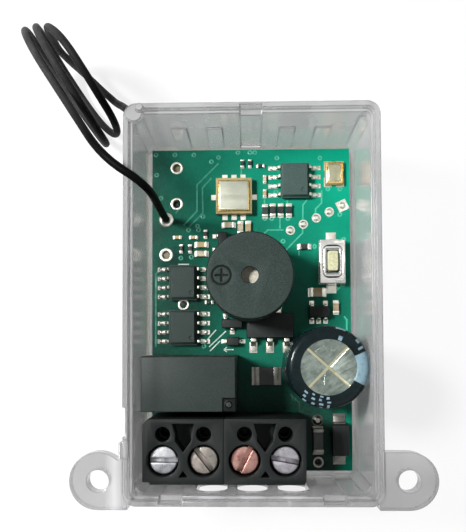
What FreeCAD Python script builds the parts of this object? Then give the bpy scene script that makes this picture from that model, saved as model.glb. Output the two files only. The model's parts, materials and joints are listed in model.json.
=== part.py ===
import FreeCAD, Part
import math
import os

# Gate remote receiver: a clear case tray with two screw ears, and the circuit board that it holds.
# Millimetres, +Z up. The origin is the middle of the underside of the tray and its ears, seen from
# above, and +Y points to the antenna end. "Board frame" below means x and y from the board's middle
# and z from its top face.

V = FreeCAD.Vector
UP = V(0, 0, 1)

# Circuit board
BOARD_WIDTH = 27.6
BOARD_THICKNESS = 1.6
BOARD_SHIFT_Y = 0.2              # the board lies a little nearer the antenna end of its cavity

# The board is as long as its rows of parts: terminal blocks, relay, chips, antenna end
BLOCK_DEPTH = 8.1
BLOCK_OVERHANG = 0.1             # front face of the terminal blocks past the board's edge
RELAY_BEHIND_BLOCKS = 0.66
RELAY_WIDTH = 7.3
CHIP_ROW_LENGTH = 13.39
ANTENNA_END_LENGTH = 15.35

BOARD_LENGTH = (BLOCK_DEPTH - BLOCK_OVERHANG + RELAY_BEHIND_BLOCKS + RELAY_WIDTH + CHIP_ROW_LENGTH
                + ANTENNA_END_LENGTH)
BLOCK_FRONT = -BOARD_LENGTH / 2 - BLOCK_OVERHANG
RELAY_FRONT = BLOCK_FRONT + BLOCK_DEPTH + RELAY_BEHIND_BLOCKS
CHIP_LINE = RELAY_FRONT + RELAY_WIDTH
ANTENNA_LINE = CHIP_LINE + CHIP_ROW_LENGTH

# Case tray
SIDE_GAP = 0.4                   # board edge to side wall
END_GAP = 0.45                   # board edge to end wall, with the board in the middle
WALL = 1.15
FLOOR = 1.2
REST_HEIGHT = 2.0                # room for pin ends under the board
RIM_ABOVE_BOARD = 14.5
OUTER_CORNER_RADIUS = 1.6
INNER_CORNER_RADIUS = 0.5
REBATE_WIDTH = 0.45              # step inside the rim, where a lid would seat
REBATE_DEPTH = 0.8
REST_SIZE = 2.6

CAVITY_WIDTH = BOARD_WIDTH + 2 * SIDE_GAP
CAVITY_LENGTH = BOARD_LENGTH + 2 * END_GAP
CASE_WIDTH = CAVITY_WIDTH + 2 * WALL
CASE_LENGTH = CAVITY_LENGTH + 2 * WALL
BOARD_BOTTOM = FLOOR + REST_HEIGHT
BOARD_TOP = BOARD_BOTTOM + BOARD_THICKNESS
CASE_HEIGHT = BOARD_TOP + RIM_ABOVE_BOARD

# Screw ears, at the rim by the terminal end
EAR_SPACING = 36.6
EAR_RADIUS = 3.4
EAR_HOLE_RADIUS = 1.3
EAR_THICKNESS = 2.0
EAR_BELOW_RIM = 0.4
EAR_OVERHANG = 0.5               # how far the ears pass the end wall
EAR_ROOT_LEFT = 5.7              # length of the ear's root along the side wall
EAR_ROOT_RIGHT = 6.8
CASE_CENTRE_Y = EAR_OVERHANG / 2
EAR_Y = CASE_CENTRE_Y - CASE_LENGTH / 2 - EAR_OVERHANG + EAR_RADIUS

# Latch channels, guide pads and corner strips inside the tray
LATCH_WIDTH = 2.7
LATCH_DEPTH = 0.35
LATCH_BAR_BELOW_RIM = 1.6
LATCH_BAR_HEIGHT = 0.5
END_LATCH_X = 9.7
PAD_WIDTH = 2.05
PAD_PROUD = 0.25
PAD_HEIGHT = 8.5
PAD_XS = (-9.2, -4.65, 4.65, 9.25)
STRIP_LEG = 1.0
STRIP_HEIGHT = 12.0
ABOVE_BOARD_GAP = 0.3            # what stands over the board's edge starts this far above it

# Wire slots in the end wall
WIRE_SLOT_WIDTH = 3.8
WIRE_SLOT_PITCH = 5.08
WIRE_SLOT_LOW = 1.2              # above the board
WIRE_SLOT_HIGH = 10.8

# Small features of the rim
SIDE_NOTCH_LENGTH = 3.45
SIDE_NOTCH_FROM_END = 8.1
SIDE_NOTCH_DEPTH = 0.35
SIDE_NOTCH_HEIGHT = 4.0
ROOT_BOSS_LENGTH = 2.2
ROOT_BOSS_PROUD = 0.5
HOOK_RADIUS = 1.05               # flat tab over the corner that holds the antenna's free end
HOOK_HEIGHT = 0.5
HOOK_INSET = 1.35
PEG_RADIUS = 0.48
PEG_HEIGHT = 1.1
PEG_DX = 0.75
PEG_DY = 0.5

# Terminal blocks: two blocks of two poles
POLE_PITCH = 5.08
POLES_PER_BLOCK = 2
BLOCKS = 2
BLOCK_HEIGHT = 10.0
BLOCK_FROM_EDGE = 0.13           # from the board's left edge
SCREW_FROM_FRONT = 2.92
WELL_RADIUS = 2.0
HEAD_RADIUS = 1.8
HEAD_HEIGHT = 1.95
HEAD_SEAT_GAP = 0.05
HEAD_CHAMFER = 0.15
SLOT_WIDTH = 0.62
SLOT_DEPTH = 0.9
SLOT_ANGLES = (0.0, -52.0, 63.0, -10.0)
SHANK_RADIUS = 1.45
SHANK_CLEARANCE = 0.1
THREAD_CLEARANCE = 0.05
LEDGE_THICKNESS = 0.65
CAGE_WIDTH = 3.9
CAGE_LENGTH = 4.2
CAGE_HEIGHT = 4.6
CAGE_BOTTOM = 0.45
CAGE_SIDE = 0.45
CAGE_SOLE = 0.6
CAGE_HEAD = 1.2
CAGE_TRAVEL = 1.4
CAGE_CLEARANCE = 0.1
CONTACT_WIDTH = 2.6
CONTACT_THICKNESS = 0.5
CONTACT_PIN_WIDTH = 1.0
PIN_BELOW_BOARD = 1.2
PIN_HOLE_CLEARANCE = 0.12
WIRE_MOUTH_WIDTH = 3.0
WIRE_MOUTH_LOW = 0.95
WIRE_MOUTH_HIGH = 3.95
TEST_HOLE_RADIUS = 0.93
TEST_HOLE_BEHIND = 3.28
TEST_HOLE_LIP = 0.3              # the hole is this much narrower under the ledge
RECESS_DEPTH = 2.9
BACK_RECESS_WIDTH = 2.76         # the recess between two poles, open to the back face
BACK_RECESS_WAIST = 2.0
BACK_RECESS_STEPS = (0.6, 1.9, 2.7, 4.1)   # its corners, counted from the back face
FRONT_RECESS_WIDTH = 1.14
FRONT_RECESS_STEPS = (0.9, 1.7)            # counted from the front face
BACK_CORNER_BEVEL = (0.65, 0.7)
FRONT_CORNER_STEP = (0.9, 0.3)
FRONT_CORNER_BEVEL = (0.25, 0.45)

BLOCK_LEFT = -BOARD_WIDTH / 2 + BLOCK_FROM_EDGE
LEDGE_BOTTOM = CAGE_BOTTOM + CAGE_HEIGHT + CAGE_TRAVEL + CAGE_CLEARANCE
LEDGE_TOP = LEDGE_BOTTOM + LEDGE_THICKNESS
HEAD_BOTTOM = LEDGE_TOP + HEAD_SEAT_GAP
HEAD_TOP = HEAD_BOTTOM + HEAD_HEIGHT
POLE_COUNT = POLES_PER_BLOCK * BLOCKS
POLE_Y = BLOCK_FRONT + SCREW_FROM_FRONT
BLOCK_WIDTH = POLE_PITCH * POLES_PER_BLOCK

# Relay
RELAY_OVERHANG = 0.25            # left side past the board's edge
RELAY_LENGTH = 12.2
RELAY_X = -BOARD_WIDTH / 2 - RELAY_OVERHANG + RELAY_LENGTH / 2
RELAY_Y = RELAY_FRONT + RELAY_WIDTH / 2
RELAY_HEIGHT = 10.1
RELAY_DRAFT = 0.2
RELAY_WALL = 0.45
RELAY_ROOF = 0.5
RELAY_BASE_THICKNESS = 1.0
RELAY_BASE_CLEARANCE = 0.05
RELAY_TOP_ROOM = 0.6             # between the yoke and the cover's roof
RELAY_UNDER = 0.25               # the base plate's height above the board
COIL_FROM_RELAY_END = 1.65       # from the cover's left end to the spool
POST_FROM_RELAY_END = 1.38       # from the cover's right end to the last contact post
BOBBIN_FLANGE = 4.9
BOBBIN_FLANGE_THICKNESS = 0.5
BOBBIN_BORE_RADIUS = 0.85
BOBBIN_TUBE_RADIUS = 1.15
WINDING_RADIUS = 2.2
CORE_RADIUS = 0.8
POLE_FACE_RADIUS = 1.5
POLE_FACE_THICKNESS = 0.4
YOKE_WIDTH = 4.2
YOKE_THICKNESS = 0.7
YOKE_ABOVE_COIL = 0.25
ARMATURE_GAP = 0.45
ARMATURE_THICKNESS = 0.6
ARMATURE_TILT = 3.0              # degrees of travel
LEAF_WIDTH = 1.5
LEAF_THICKNESS = 0.25
BUTTON_RADIUS = 0.5
BUTTON_THICKNESS = 0.25
CONTACT_GAP = 0.12
POST_THICKNESS = 0.35
POST_WIDTH = 1.3
CONTACT_ABOVE_BASE = 1.05
CORE_END_GAP = 0.05
LEAF_BELOW_HINGE = 1.2
ARMATURE_BELOW_POLE = 0.5
SUNK_CORNER_X = 1.6
SUNK_CORNER_Y = 1.7
VENT_STUB_RADIUS = 0.38
VENT_STUB_X = 0.85
VENT_STUB_Y = 0.9
RELAY_PIN_RADIUS = 0.3
COIL_PIN_FROM_END = 1.5
RELAY_PIN_Y = 2.54

# Buzzer, standing on its pins over a few low parts
BUZZER_X = -0.2
BUZZER_FROM_CHIP_LINE = 10.09
BUZZER_Y = CHIP_LINE + BUZZER_FROM_CHIP_LINE
BUZZER_RADIUS = 5.65
BUZZER_STANDOFF = 2.0
BUZZER_TOP = 8.5
BUZZER_WALL = 0.6
BUZZER_ROOF = 0.7
BUZZER_HOLE_RADIUS = 1.1
BUZZER_EDGE = 0.3
BUZZER_BASE_THICKNESS = 0.8
BUZZER_BASE_GAP = 0.05
DIAPHRAGM_SEAT = 0.4
COIL_BELOW_MAGNET = 0.4
MAGNET_RADIUS = 4.5
MAGNET_BORE = 3.2
MAGNET_HEIGHT = 2.7
VOICE_COIL_RADIUS = 2.8
POLE_RADIUS = 1.3
DIAPHRAGM_RADIUS = 4.9
DIAPHRAGM_THICKNESS = 0.2
DIAPHRAGM_OVER_MAGNET = 1.0
DIAPHRAGM_WEIGHT_RADIUS = 1.6
DIAPHRAGM_WEIGHT_THICKNESS = 0.3
BUZZER_PIN_PITCH = 6.5
BUZZER_PIN_RADIUS = 0.3
POLARITY_X = -3.6
POLARITY_RADIUS = 1.3
POLARITY_LINE = 0.22
POLARITY_DEPTH = 0.15
POLARITY_ARM = 0.85

# Electrolytic capacitor, close to the right side wall
CAPACITOR_RADIUS = 5.0
CAPACITOR_TO_WALL = 0.05
CAPACITOR_X = CAVITY_WIDTH / 2 - CAPACITOR_TO_WALL - CAPACITOR_RADIUS
CAPACITOR_BEFORE_CHIP_LINE = 1.56
CAPACITOR_Y = CHIP_LINE - CAPACITOR_BEFORE_CHIP_LINE
CAPACITOR_HEIGHT = 12.8           # top above the board
SLEEVE_THICKNESS = 0.15
SLEEVE_LIP_RADIUS = 3.35
CAN_THICKNESS = 0.35
CAN_ROUND = 0.8
CAN_GAP = 0.02
VENT_WIDTH = 0.35
VENT_DEPTH = 0.15
VENT_LENGTH = 6.7
VENT_ANGLES = (46, -42)
BUNG_HEIGHT = 1.9
ELEMENT_RADIUS = 4.1
ELEMENT_TOP_ROOM = 0.66
ELEMENT_BOTTOM_ROOM = 0.3
CAPACITOR_LEAD_PITCH = 5.0
CAPACITOR_LEAD_RADIUS = 0.3
CAPACITOR_STANDOFF = 0.8         # it stands off the board over a lead of the regulator

# Push switch
SWITCH_X = 11.12
SWITCH_FROM_CHIP_LINE = 12.71
SWITCH_Y = CHIP_LINE + SWITCH_FROM_CHIP_LINE
SWITCH_WIDTH = 3.5
SWITCH_LENGTH = 6.0
SWITCH_BASE_HEIGHT = 1.5
SWITCH_FRAME_THICKNESS = 0.2
SWITCH_WINDOW_WIDTH = 2.7
SWITCH_WINDOW_LENGTH = 4.5
SWITCH_WINDOW_ROUND = 0.9
SWITCH_FLOOR = 0.35
SWITCH_ROOF = 0.2
BUTTON_WIDTH = 1.36
BUTTON_LENGTH = 2.7
BUTTON_TOP = 2.45
BUTTON_SIDE_GAP = 0.08
BUTTON_FLANGE = 0.35
BUTTON_FLANGE_THICKNESS = 0.25
BUTTON_ROUND = 0.25
DOME_RADIUS = 1.15
DOME_THICKNESS = 0.1
SWITCH_CAVITY_WIDTH = 2.5
SWITCH_CAVITY_LENGTH = 4.1
SWITCH_LEAD_WIDTH = 1.2
SWITCH_LEAD_REACH = 1.1
SWITCH_LEAD_HEIGHT = 0.9
SWITCH_SKIRT = 0.5               # bottom of the metal cover above the board
SWITCH_BODY_INSET = 0.1
FLANGE_ROOM = 0.08
DOME_ROOM = 0.05

# Pads, leads and small parts
PAD_THICKNESS = 0.05
LEAD_THICKNESS = 0.2
SMALL_GAP = 0.02

# Antenna wire, a stiff insulated wire that stands as a coil beside the case
WIRE_RADIUS = 0.5
COIL_RADIUS = 8.6                # up and down, to the wire's middle
# The turns' places along the coil's axis, a quarter turn apart: one before the start, the turns,
# and the end of the smaller bend
COIL_DRIFTS = [0.5, 0.5, 1.3, 1.25, 1.41, 1.95, 2.7, 2.5, 3.45, 4.2, 4.15, 5.2]
# How far the turns' sides reach from the axis: the far side, the side by the case, and so on
COIL_REACHES = [8.28, 8.97, 7.65, 8.58, 6.83]
COIL_X = -25.95                  # where the coil's axis starts, seen from above
COIL_Y = 29.35
COIL_OFF_TABLE = 0.15            # under the coil's lowest wire
COIL_HEADING = -55.5             # from the far side of the coil to the case, degrees from +X
COIL_START = 90                  # degrees of turn; 90 is the top of the first turn
COIL_ROUND_END = 900             # here the full turns stop, on the far side
LAST_BEND_RADIUS = 5.6           # the smaller bend that follows
LAST_BEND = 120
TAIL_DRIFT = 0.65                # how far the rest moves along the coil's axis
BEND_SHARE = 0.45                # part of the shorter run that a corner's arc takes
# Route of the lead from its solder pad, over the rim: (x, y, z) in the row frame
LEAD_RISE = 6.3
LEAD_ROUTE = [(-12.2, 13.45, 21.75), (-17.4, 17.15, 21.6)]
LEAD_LAST_RUN = 6.1
# Route of the free end in the coil's plane: (toward the case, height)
TAIL_ROUTE = [(8.0, 12.0), (10.4, 18.3)]
TAIL_FIRST_RUN = 3.6


# Basic shapes

def block(cx, cy, z0, dx, dy, dz):
    """A box centred on (cx, cy) that stands on z0."""
    return Part.makeBox(dx, dy, dz, V(cx - dx / 2, cy - dy / 2, z0))


def disc(cx, cy, z0, radius, height):
    """An upright cylinder that stands on z0."""
    return Part.makeCylinder(radius, height, V(cx, cy, z0))


def ring(cx, cy, z0, outer, inner, height):
    """An upright tube that stands on z0."""
    return disc(cx, cy, z0, outer, height).cut(disc(cx, cy, z0 - 1, inner, height + 2))


def upright_edges(shape):
    """The edges that run along Z."""
    found = []
    for edge in shape.Edges:
        ends = [v.Point for v in edge.Vertexes]
        if len(ends) == 2 and math.hypot(ends[0].x - ends[1].x, ends[0].y - ends[1].y) < 1e-6:
            found.append(edge)
    return found


def rounded_block(cx, cy, z0, dx, dy, dz, radius):
    """A box with its four upright edges rounded."""
    solid = block(cx, cy, z0, dx, dy, dz)
    return solid.makeFillet(radius, upright_edges(solid))


def prism(points, z0, height):
    """A flat outline of (x, y) points, raised from z0."""
    corners = [V(x, y, z0) for x, y in points]
    face = Part.Face(Part.makePolygon(corners + corners[:1]))
    return face.extrude(V(0, 0, height))


def upright_slot(cx, y0, depth, width, low, high):
    """A slot with round ends, upright, cut along Y from y0."""
    radius = width / 2
    slot = Part.makeBox(width, depth, high - low - width, V(cx - radius, y0, low + radius))
    for z in (low + radius, high - radius):
        slot = slot.fuse(Part.makeCylinder(radius, depth, V(cx, y0, z), V(0, 1, 0)))
    return slot


def frustum(cx, cy, z0, dx, dy, height, draft):
    """A box whose four sides lean in by draft at the top."""
    low = [V(cx + sx * dx / 2, cy + sy * dy / 2, z0) for sx, sy in ((-1, -1), (1, -1), (1, 1), (-1, 1))]
    high = [V(cx + sx * (dx / 2 - draft), cy + sy * (dy / 2 - draft), z0 + height)
            for sx, sy in ((-1, -1), (1, -1), (1, 1), (-1, 1))]
    loops = [Part.makePolygon(p + p[:1]) for p in (low, high)]
    return Part.makeLoft(loops, True, True)


def joined(shapes):
    """One solid out of shapes that touch."""
    result = shapes[0]
    for shape in shapes[1:]:
        result = result.fuse(shape)
    return result.removeSplitter()


def without(shape, tools):
    """The shape with all the tools cut out of it."""
    for tool in tools:
        shape = shape.cut(tool)
    return shape


def turned(shape, cx, cy, degrees):
    """The shape turned about the upright line through (cx, cy)."""
    result = shape.copy()
    result.rotate(V(cx, cy, 0), UP, degrees)
    return result


def on_board(shape):
    """The shape moved from the board frame to the row frame."""
    moved = shape.copy()
    moved.translate(V(0, CASE_CENTRE_Y + BOARD_SHIFT_Y, BOARD_TOP))
    return moved


def save(node, shapes):
    """Writes one node, made of one or more separate solids."""
    solids = []
    for shape in shapes:
        solids.extend(shape.Solids)
    result = solids[0] if len(solids) == 1 else Part.makeCompound(solids)
    result.exportStep("parts/" + node + ".step")
    volume = sum(s.Volume for s in solids)
    print(f"{node:26s} solids {len(solids):3d} volume {volume:9.3f} valid {result.isValid()}")


def save_on_board(node, shapes):
    """Writes one node that was made in the board frame."""
    save(node, [on_board(s) for s in shapes])


# Case tray

def ear(side, root):
    """One screw ear: a round lug joined to the side wall, with its hole. side is -1 or 1."""
    z0 = CASE_HEIGHT - EAR_BELOW_RIM - EAR_THICKNESS
    x = side * EAR_SPACING / 2
    wall_x = side * (CASE_WIDTH / 2 - WALL / 2)
    low = EAR_Y - EAR_RADIUS
    web = [(wall_x, low), (x, low), (x, EAR_Y + EAR_RADIUS), (side * CASE_WIDTH / 2, low + root),
           (wall_x, low + root)]
    lug = joined([disc(x, EAR_Y, z0, EAR_RADIUS, EAR_THICKNESS), prism(web, z0, EAR_THICKNESS)])
    return lug.cut(disc(x, EAR_Y, z0 - 1, EAR_HOLE_RADIUS, EAR_THICKNESS + 2))


def latch_cuts(cx, wall_y, outward):
    """The channel of one latch and the notch over it. outward is -1 or 1 along Y."""
    y0 = wall_y if outward > 0 else wall_y - LATCH_DEPTH
    bar_top = CASE_HEIGHT - LATCH_BAR_BELOW_RIM
    low = BOARD_TOP
    channel = Part.makeBox(LATCH_WIDTH, LATCH_DEPTH, bar_top - LATCH_BAR_HEIGHT - low,
                           V(cx - LATCH_WIDTH / 2, y0, low))
    notch_depth = REBATE_WIDTH + LATCH_DEPTH
    n0 = wall_y if outward > 0 else wall_y - notch_depth
    notch = Part.makeBox(LATCH_WIDTH, notch_depth, CASE_HEIGHT - bar_top + 1,
                         V(cx - LATCH_WIDTH / 2, n0, bar_top))
    return [channel, notch]


def corner_strip(sx, sy):
    """A slanted strip across one inner corner, above the board."""
    cx = sx * CAVITY_WIDTH / 2
    cy = CASE_CENTRE_Y + sy * CAVITY_LENGTH / 2
    bite = WALL / 2
    points = [(cx + sx * bite, cy + sy * bite), (cx + sx * bite, cy - sy * STRIP_LEG),
              (cx, cy - sy * STRIP_LEG), (cx - sx * STRIP_LEG, cy), (cx - sx * STRIP_LEG, cy + sy * bite)]
    return prism(points, BOARD_TOP + ABOVE_BOARD_GAP, STRIP_HEIGHT)


def board_rest(sx, sy):
    """A square rest under one corner of the board."""
    cx = sx * (CAVITY_WIDTH / 2 - REST_SIZE / 2 + WALL / 4)
    cy = CASE_CENTRE_Y + sy * (CAVITY_LENGTH / 2 - REST_SIZE / 2 + WALL / 4)
    return block(cx, cy, FLOOR / 2, REST_SIZE + WALL / 2, REST_SIZE + WALL / 2, FLOOR / 2 + REST_HEIGHT)


def wall_shell():
    """The tray's floor, walls and rim step."""
    outer = rounded_block(0, CASE_CENTRE_Y, 0, CASE_WIDTH, CASE_LENGTH, CASE_HEIGHT, OUTER_CORNER_RADIUS)
    cavity = rounded_block(0, CASE_CENTRE_Y, FLOOR, CAVITY_WIDTH, CAVITY_LENGTH, CASE_HEIGHT,
                           INNER_CORNER_RADIUS)
    rebate = rounded_block(0, CASE_CENTRE_Y, CASE_HEIGHT - REBATE_DEPTH, CAVITY_WIDTH + 2 * REBATE_WIDTH,
                           CAVITY_LENGTH + 2 * REBATE_WIDTH, CASE_HEIGHT, INNER_CORNER_RADIUS + REBATE_WIDTH)
    return without(outer, [cavity, rebate])


def case_tray():
    """The clear tray with rests, strips, guide pads, ears, latches and wire slots."""
    half_w = CASE_WIDTH / 2
    top_in = CASE_CENTRE_Y + CAVITY_LENGTH / 2
    low_in = CASE_CENTRE_Y - CAVITY_LENGTH / 2
    low_out = low_in - WALL
    parts = [wall_shell(), ear(-1, EAR_ROOT_LEFT), ear(1, EAR_ROOT_RIGHT)]
    for sx in (-1, 1):
        for sy in (-1, 1):
            parts.append(board_rest(sx, sy))
            parts.append(corner_strip(sx, sy))
    for x in PAD_XS:
        parts.append(Part.makeBox(PAD_WIDTH, PAD_PROUD + WALL / 2, PAD_HEIGHT,
                                  V(x - PAD_WIDTH / 2, top_in - PAD_PROUD, BOARD_TOP + ABOVE_BOARD_GAP)))
    boss_y = low_out - EAR_OVERHANG + EAR_ROOT_LEFT
    parts.append(Part.makeBox(ROOT_BOSS_PROUD + WALL / 2, ROOT_BOSS_LENGTH, SIDE_NOTCH_HEIGHT - EAR_BELOW_RIM,
                              V(-half_w - ROOT_BOSS_PROUD, boss_y, CASE_HEIGHT - SIDE_NOTCH_HEIGHT)))
    hook_x = -half_w + HOOK_INSET
    hook_y = CASE_CENTRE_Y + CASE_LENGTH / 2 - HOOK_INSET
    hook = disc(hook_x, hook_y, CASE_HEIGHT - HOOK_HEIGHT, HOOK_RADIUS, 2 * HOOK_HEIGHT)
    parts.append(hook)
    parts.append(disc(hook_x + PEG_DX, hook_y + PEG_DY, CASE_HEIGHT - HOOK_HEIGHT, PEG_RADIUS,
                      HOOK_HEIGHT + PEG_HEIGHT))
    cuts = latch_cuts(0, top_in, 1)
    for x in (-END_LATCH_X, END_LATCH_X):
        cuts += latch_cuts(x, low_in, -1)
    for i in (-1, 0, 1):
        cuts.append(upright_slot(i * WIRE_SLOT_PITCH, low_out - 1, WALL + 2, WIRE_SLOT_WIDTH,
                                 BOARD_TOP + WIRE_SLOT_LOW, BOARD_TOP + WIRE_SLOT_HIGH))
    cuts.append(Part.makeBox(SIDE_NOTCH_DEPTH, SIDE_NOTCH_LENGTH, SIDE_NOTCH_HEIGHT + 1,
                             V(-half_w, low_out + SIDE_NOTCH_FROM_END, CASE_HEIGHT - SIDE_NOTCH_HEIGHT)))
    return without(joined(parts), cuts)


# Terminal blocks, in the board frame

def pole_x(index):
    """The x of one pole's screw."""
    return BLOCK_LEFT + POLE_PITCH * (index + 0.5)


def contact_top():
    """The top of the fixed contact strip, just under the head of a lowered cage."""
    return CAGE_BOTTOM + CAGE_HEIGHT - CAGE_HEAD - CAGE_CLEARANCE


def pole_cuts(x):
    """All that one pole takes out of its housing."""
    room = CAGE_CLEARANCE
    cavity_low = CAGE_BOTTOM - room
    cavity_front = POLE_Y - CAGE_LENGTH / 2 - room
    leg_y = POLE_Y + TEST_HOLE_BEHIND
    top = contact_top()
    slot_front = POLE_Y + CAGE_LENGTH / 2
    slot_back = leg_y + CONTACT_THICKNESS / 2 + SMALL_GAP
    mouth = Part.makeBox(WIRE_MOUTH_WIDTH, cavity_front + 0.1 - BLOCK_FRONT + 1,
                         WIRE_MOUTH_HIGH - WIRE_MOUTH_LOW,
                         V(x - WIRE_MOUTH_WIDTH / 2, BLOCK_FRONT - 1, WIRE_MOUTH_LOW))
    return [
        disc(x, POLE_Y, LEDGE_TOP, WELL_RADIUS, BLOCK_HEIGHT),
        disc(x, POLE_Y, LEDGE_BOTTOM - 0.1, SHANK_RADIUS + SHANK_CLEARANCE, BLOCK_HEIGHT),
        block(x, POLE_Y, cavity_low, CAGE_WIDTH + 2 * room, CAGE_LENGTH + 2 * room, LEDGE_BOTTOM - cavity_low),
        mouth,
        Part.makeBox(CONTACT_WIDTH + 2 * SMALL_GAP, slot_back - slot_front, CONTACT_THICKNESS + 2 * SMALL_GAP,
                     V(x - CONTACT_WIDTH / 2 - SMALL_GAP, slot_front, top - CONTACT_THICKNESS - SMALL_GAP)),
        block(x, leg_y, -1, CONTACT_WIDTH + 2 * SMALL_GAP, CONTACT_THICKNESS + 2 * SMALL_GAP, top + 1),
        disc(x, leg_y, top, TEST_HOLE_RADIUS - TEST_HOLE_LIP, BLOCK_HEIGHT),
        disc(x, leg_y, LEDGE_BOTTOM, TEST_HOLE_RADIUS, BLOCK_HEIGHT),
    ]


def between_poles(x):
    """The two recesses in the top face between a pair of poles."""
    mouth, neck, heel, tip = [BLOCK_FRONT + BLOCK_DEPTH - step for step in BACK_RECESS_STEPS]
    half = BACK_RECESS_WIDTH / 2
    waist = BACK_RECESS_WAIST / 2
    notch = [(x - half, mouth), (x + half, mouth), (x + waist, neck), (x + waist, heel), (x, tip),
             (x - waist, heel), (x - waist, neck)]
    base, point = [BLOCK_FRONT + step for step in FRONT_RECESS_STEPS]
    front = [(x - FRONT_RECESS_WIDTH / 2, base), (x + FRONT_RECESS_WIDTH / 2, base), (x, point)]
    low = BLOCK_HEIGHT - RECESS_DEPTH
    return [prism(notch, low, RECESS_DEPTH + 1), prism(front, low, RECESS_DEPTH + 1)]


def terminal_housing(number):
    """The moulded housing of one two-pole block."""
    x0 = BLOCK_LEFT + number * BLOCK_WIDTH
    body = Part.makeBox(BLOCK_WIDTH, BLOCK_DEPTH, BLOCK_HEIGHT, V(x0, BLOCK_FRONT, 0))
    cuts = []
    for pole in range(POLES_PER_BLOCK):
        cuts += pole_cuts(pole_x(number * POLES_PER_BLOCK + pole))
    for pole in range(1, POLES_PER_BLOCK):
        cuts += between_poles(x0 + pole * POLE_PITCH)
    back = BLOCK_FRONT + BLOCK_DEPTH
    if number == 0:
        dx, dy = BACK_CORNER_BEVEL
        cuts.append(prism([(x0, back), (x0, back - dy), (x0 + dx, back)], 0, BLOCK_HEIGHT))
        dx, dy = FRONT_CORNER_STEP
        cuts.append(block(x0, BLOCK_FRONT, 0, 2 * dx, 2 * dy, BLOCK_HEIGHT))
    if number == BLOCKS - 1:
        x1 = x0 + BLOCK_WIDTH
        dx, dy = FRONT_CORNER_BEVEL
        bevel = [(x1, BLOCK_FRONT), (x1, BLOCK_FRONT + dy), (x1 - dx, BLOCK_FRONT)]
        cuts.append(prism(bevel, 0, BLOCK_HEIGHT))
    return without(body, cuts)


def terminal_screw(index):
    """One slotted screw, held by its head over the ledge."""
    x = pole_x(index)
    head = disc(x, POLE_Y, HEAD_BOTTOM, HEAD_RADIUS, HEAD_TOP - HEAD_BOTTOM)
    rim = [e for e in head.Edges if abs(e.BoundBox.ZMin - HEAD_TOP) < 1e-6]
    head = head.makeChamfer(HEAD_CHAMFER, rim)
    slot = block(x, POLE_Y, HEAD_TOP - SLOT_DEPTH, 3 * HEAD_RADIUS, SLOT_WIDTH, SLOT_DEPTH + 1)
    tip = contact_top() + 1.5 * CAGE_CLEARANCE
    shank = disc(x, POLE_Y, tip, SHANK_RADIUS, HEAD_BOTTOM - tip + 0.1)
    return joined([head.cut(turned(slot, x, POLE_Y, SLOT_ANGLES[index])), shank])


def terminal_cage(index):
    """The clamp cage that climbs its screw."""
    x = pole_x(index)
    body = block(x, POLE_Y, CAGE_BOTTOM, CAGE_WIDTH, CAGE_LENGTH, CAGE_HEIGHT)
    window = block(x, POLE_Y, CAGE_BOTTOM + CAGE_SOLE, CAGE_WIDTH - 2 * CAGE_SIDE, CAGE_LENGTH + 1,
                   CAGE_HEIGHT - CAGE_SOLE - CAGE_HEAD)
    bore = disc(x, POLE_Y, CAGE_BOTTOM + CAGE_HEIGHT / 2, SHANK_RADIUS + THREAD_CLEARANCE, CAGE_HEIGHT)
    return without(body, [window, bore])


def terminal_contact(index):
    """The fixed strip through one cage, with its leg and board pin."""
    x = pole_x(index)
    top = contact_top()
    low = top - CONTACT_THICKNESS
    leg_y = POLE_Y + TEST_HOLE_BEHIND
    y0 = POLE_Y - CAGE_LENGTH / 2 - CAGE_CLEARANCE
    strip = Part.makeBox(CONTACT_WIDTH, leg_y + CONTACT_THICKNESS / 2 - y0, CONTACT_THICKNESS,
                         V(x - CONTACT_WIDTH / 2, y0, low))
    leg = block(x, leg_y, 0.1, CONTACT_WIDTH, CONTACT_THICKNESS, top - 0.1)
    pin = block(x, leg_y, -BOARD_THICKNESS - PIN_BELOW_BOARD, CONTACT_PIN_WIDTH, CONTACT_THICKNESS,
                BOARD_THICKNESS + PIN_BELOW_BOARD + 1)
    return joined([strip, leg, pin])


# Relay, in the board frame

def along_x(x0, y, z, radius, length):
    """A cylinder along X from x0."""
    return Part.makeCylinder(radius, length, V(x0, y, z), V(1, 0, 0))


RELAY_COIL_X0 = RELAY_X - RELAY_LENGTH / 2 + COIL_FROM_RELAY_END
CONTACT_STACK = (2 * CORE_END_GAP + POLE_FACE_THICKNESS + ARMATURE_GAP + ARMATURE_THICKNESS + LEAF_THICKNESS
                 + 2 * BUTTON_THICKNESS + CONTACT_GAP + POST_THICKNESS)
BOBBIN_LENGTH = RELAY_LENGTH - COIL_FROM_RELAY_END - CONTACT_STACK - POST_FROM_RELAY_END
POLE_X0 = RELAY_COIL_X0 + BOBBIN_LENGTH + 2 * CORE_END_GAP
ARMATURE_X0 = POLE_X0 + POLE_FACE_THICKNESS + ARMATURE_GAP
YOKE_TOP = RELAY_HEIGHT - RELAY_ROOF - RELAY_TOP_ROOM
HINGE_Z = YOKE_TOP - YOKE_THICKNESS / 2
RELAY_AXIS_HEIGHT = YOKE_TOP - YOKE_THICKNESS - YOKE_ABOVE_COIL - BOBBIN_FLANGE / 2
LEAF_X0 = ARMATURE_X0 + ARMATURE_THICKNESS
BUTTON_Z = RELAY_UNDER + RELAY_BASE_THICKNESS + CONTACT_ABOVE_BASE
LEAF_LOW = BUTTON_Z - BUTTON_RADIUS
CONTACT_STROKE = (HINGE_Z - LEAF_LOW) * math.tan(math.radians(ARMATURE_TILT))
POST_TOP = BUTTON_Z + BUTTON_RADIUS + CORE_END_GAP
NORMALLY_CLOSED_X = LEAF_X0 + LEAF_THICKNESS + 2 * BUTTON_THICKNESS + CONTACT_GAP
NORMALLY_OPEN_X = LEAF_X0 - 2 * BUTTON_THICKNESS - CONTACT_STROKE - CONTACT_GAP - POST_THICKNESS
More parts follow.
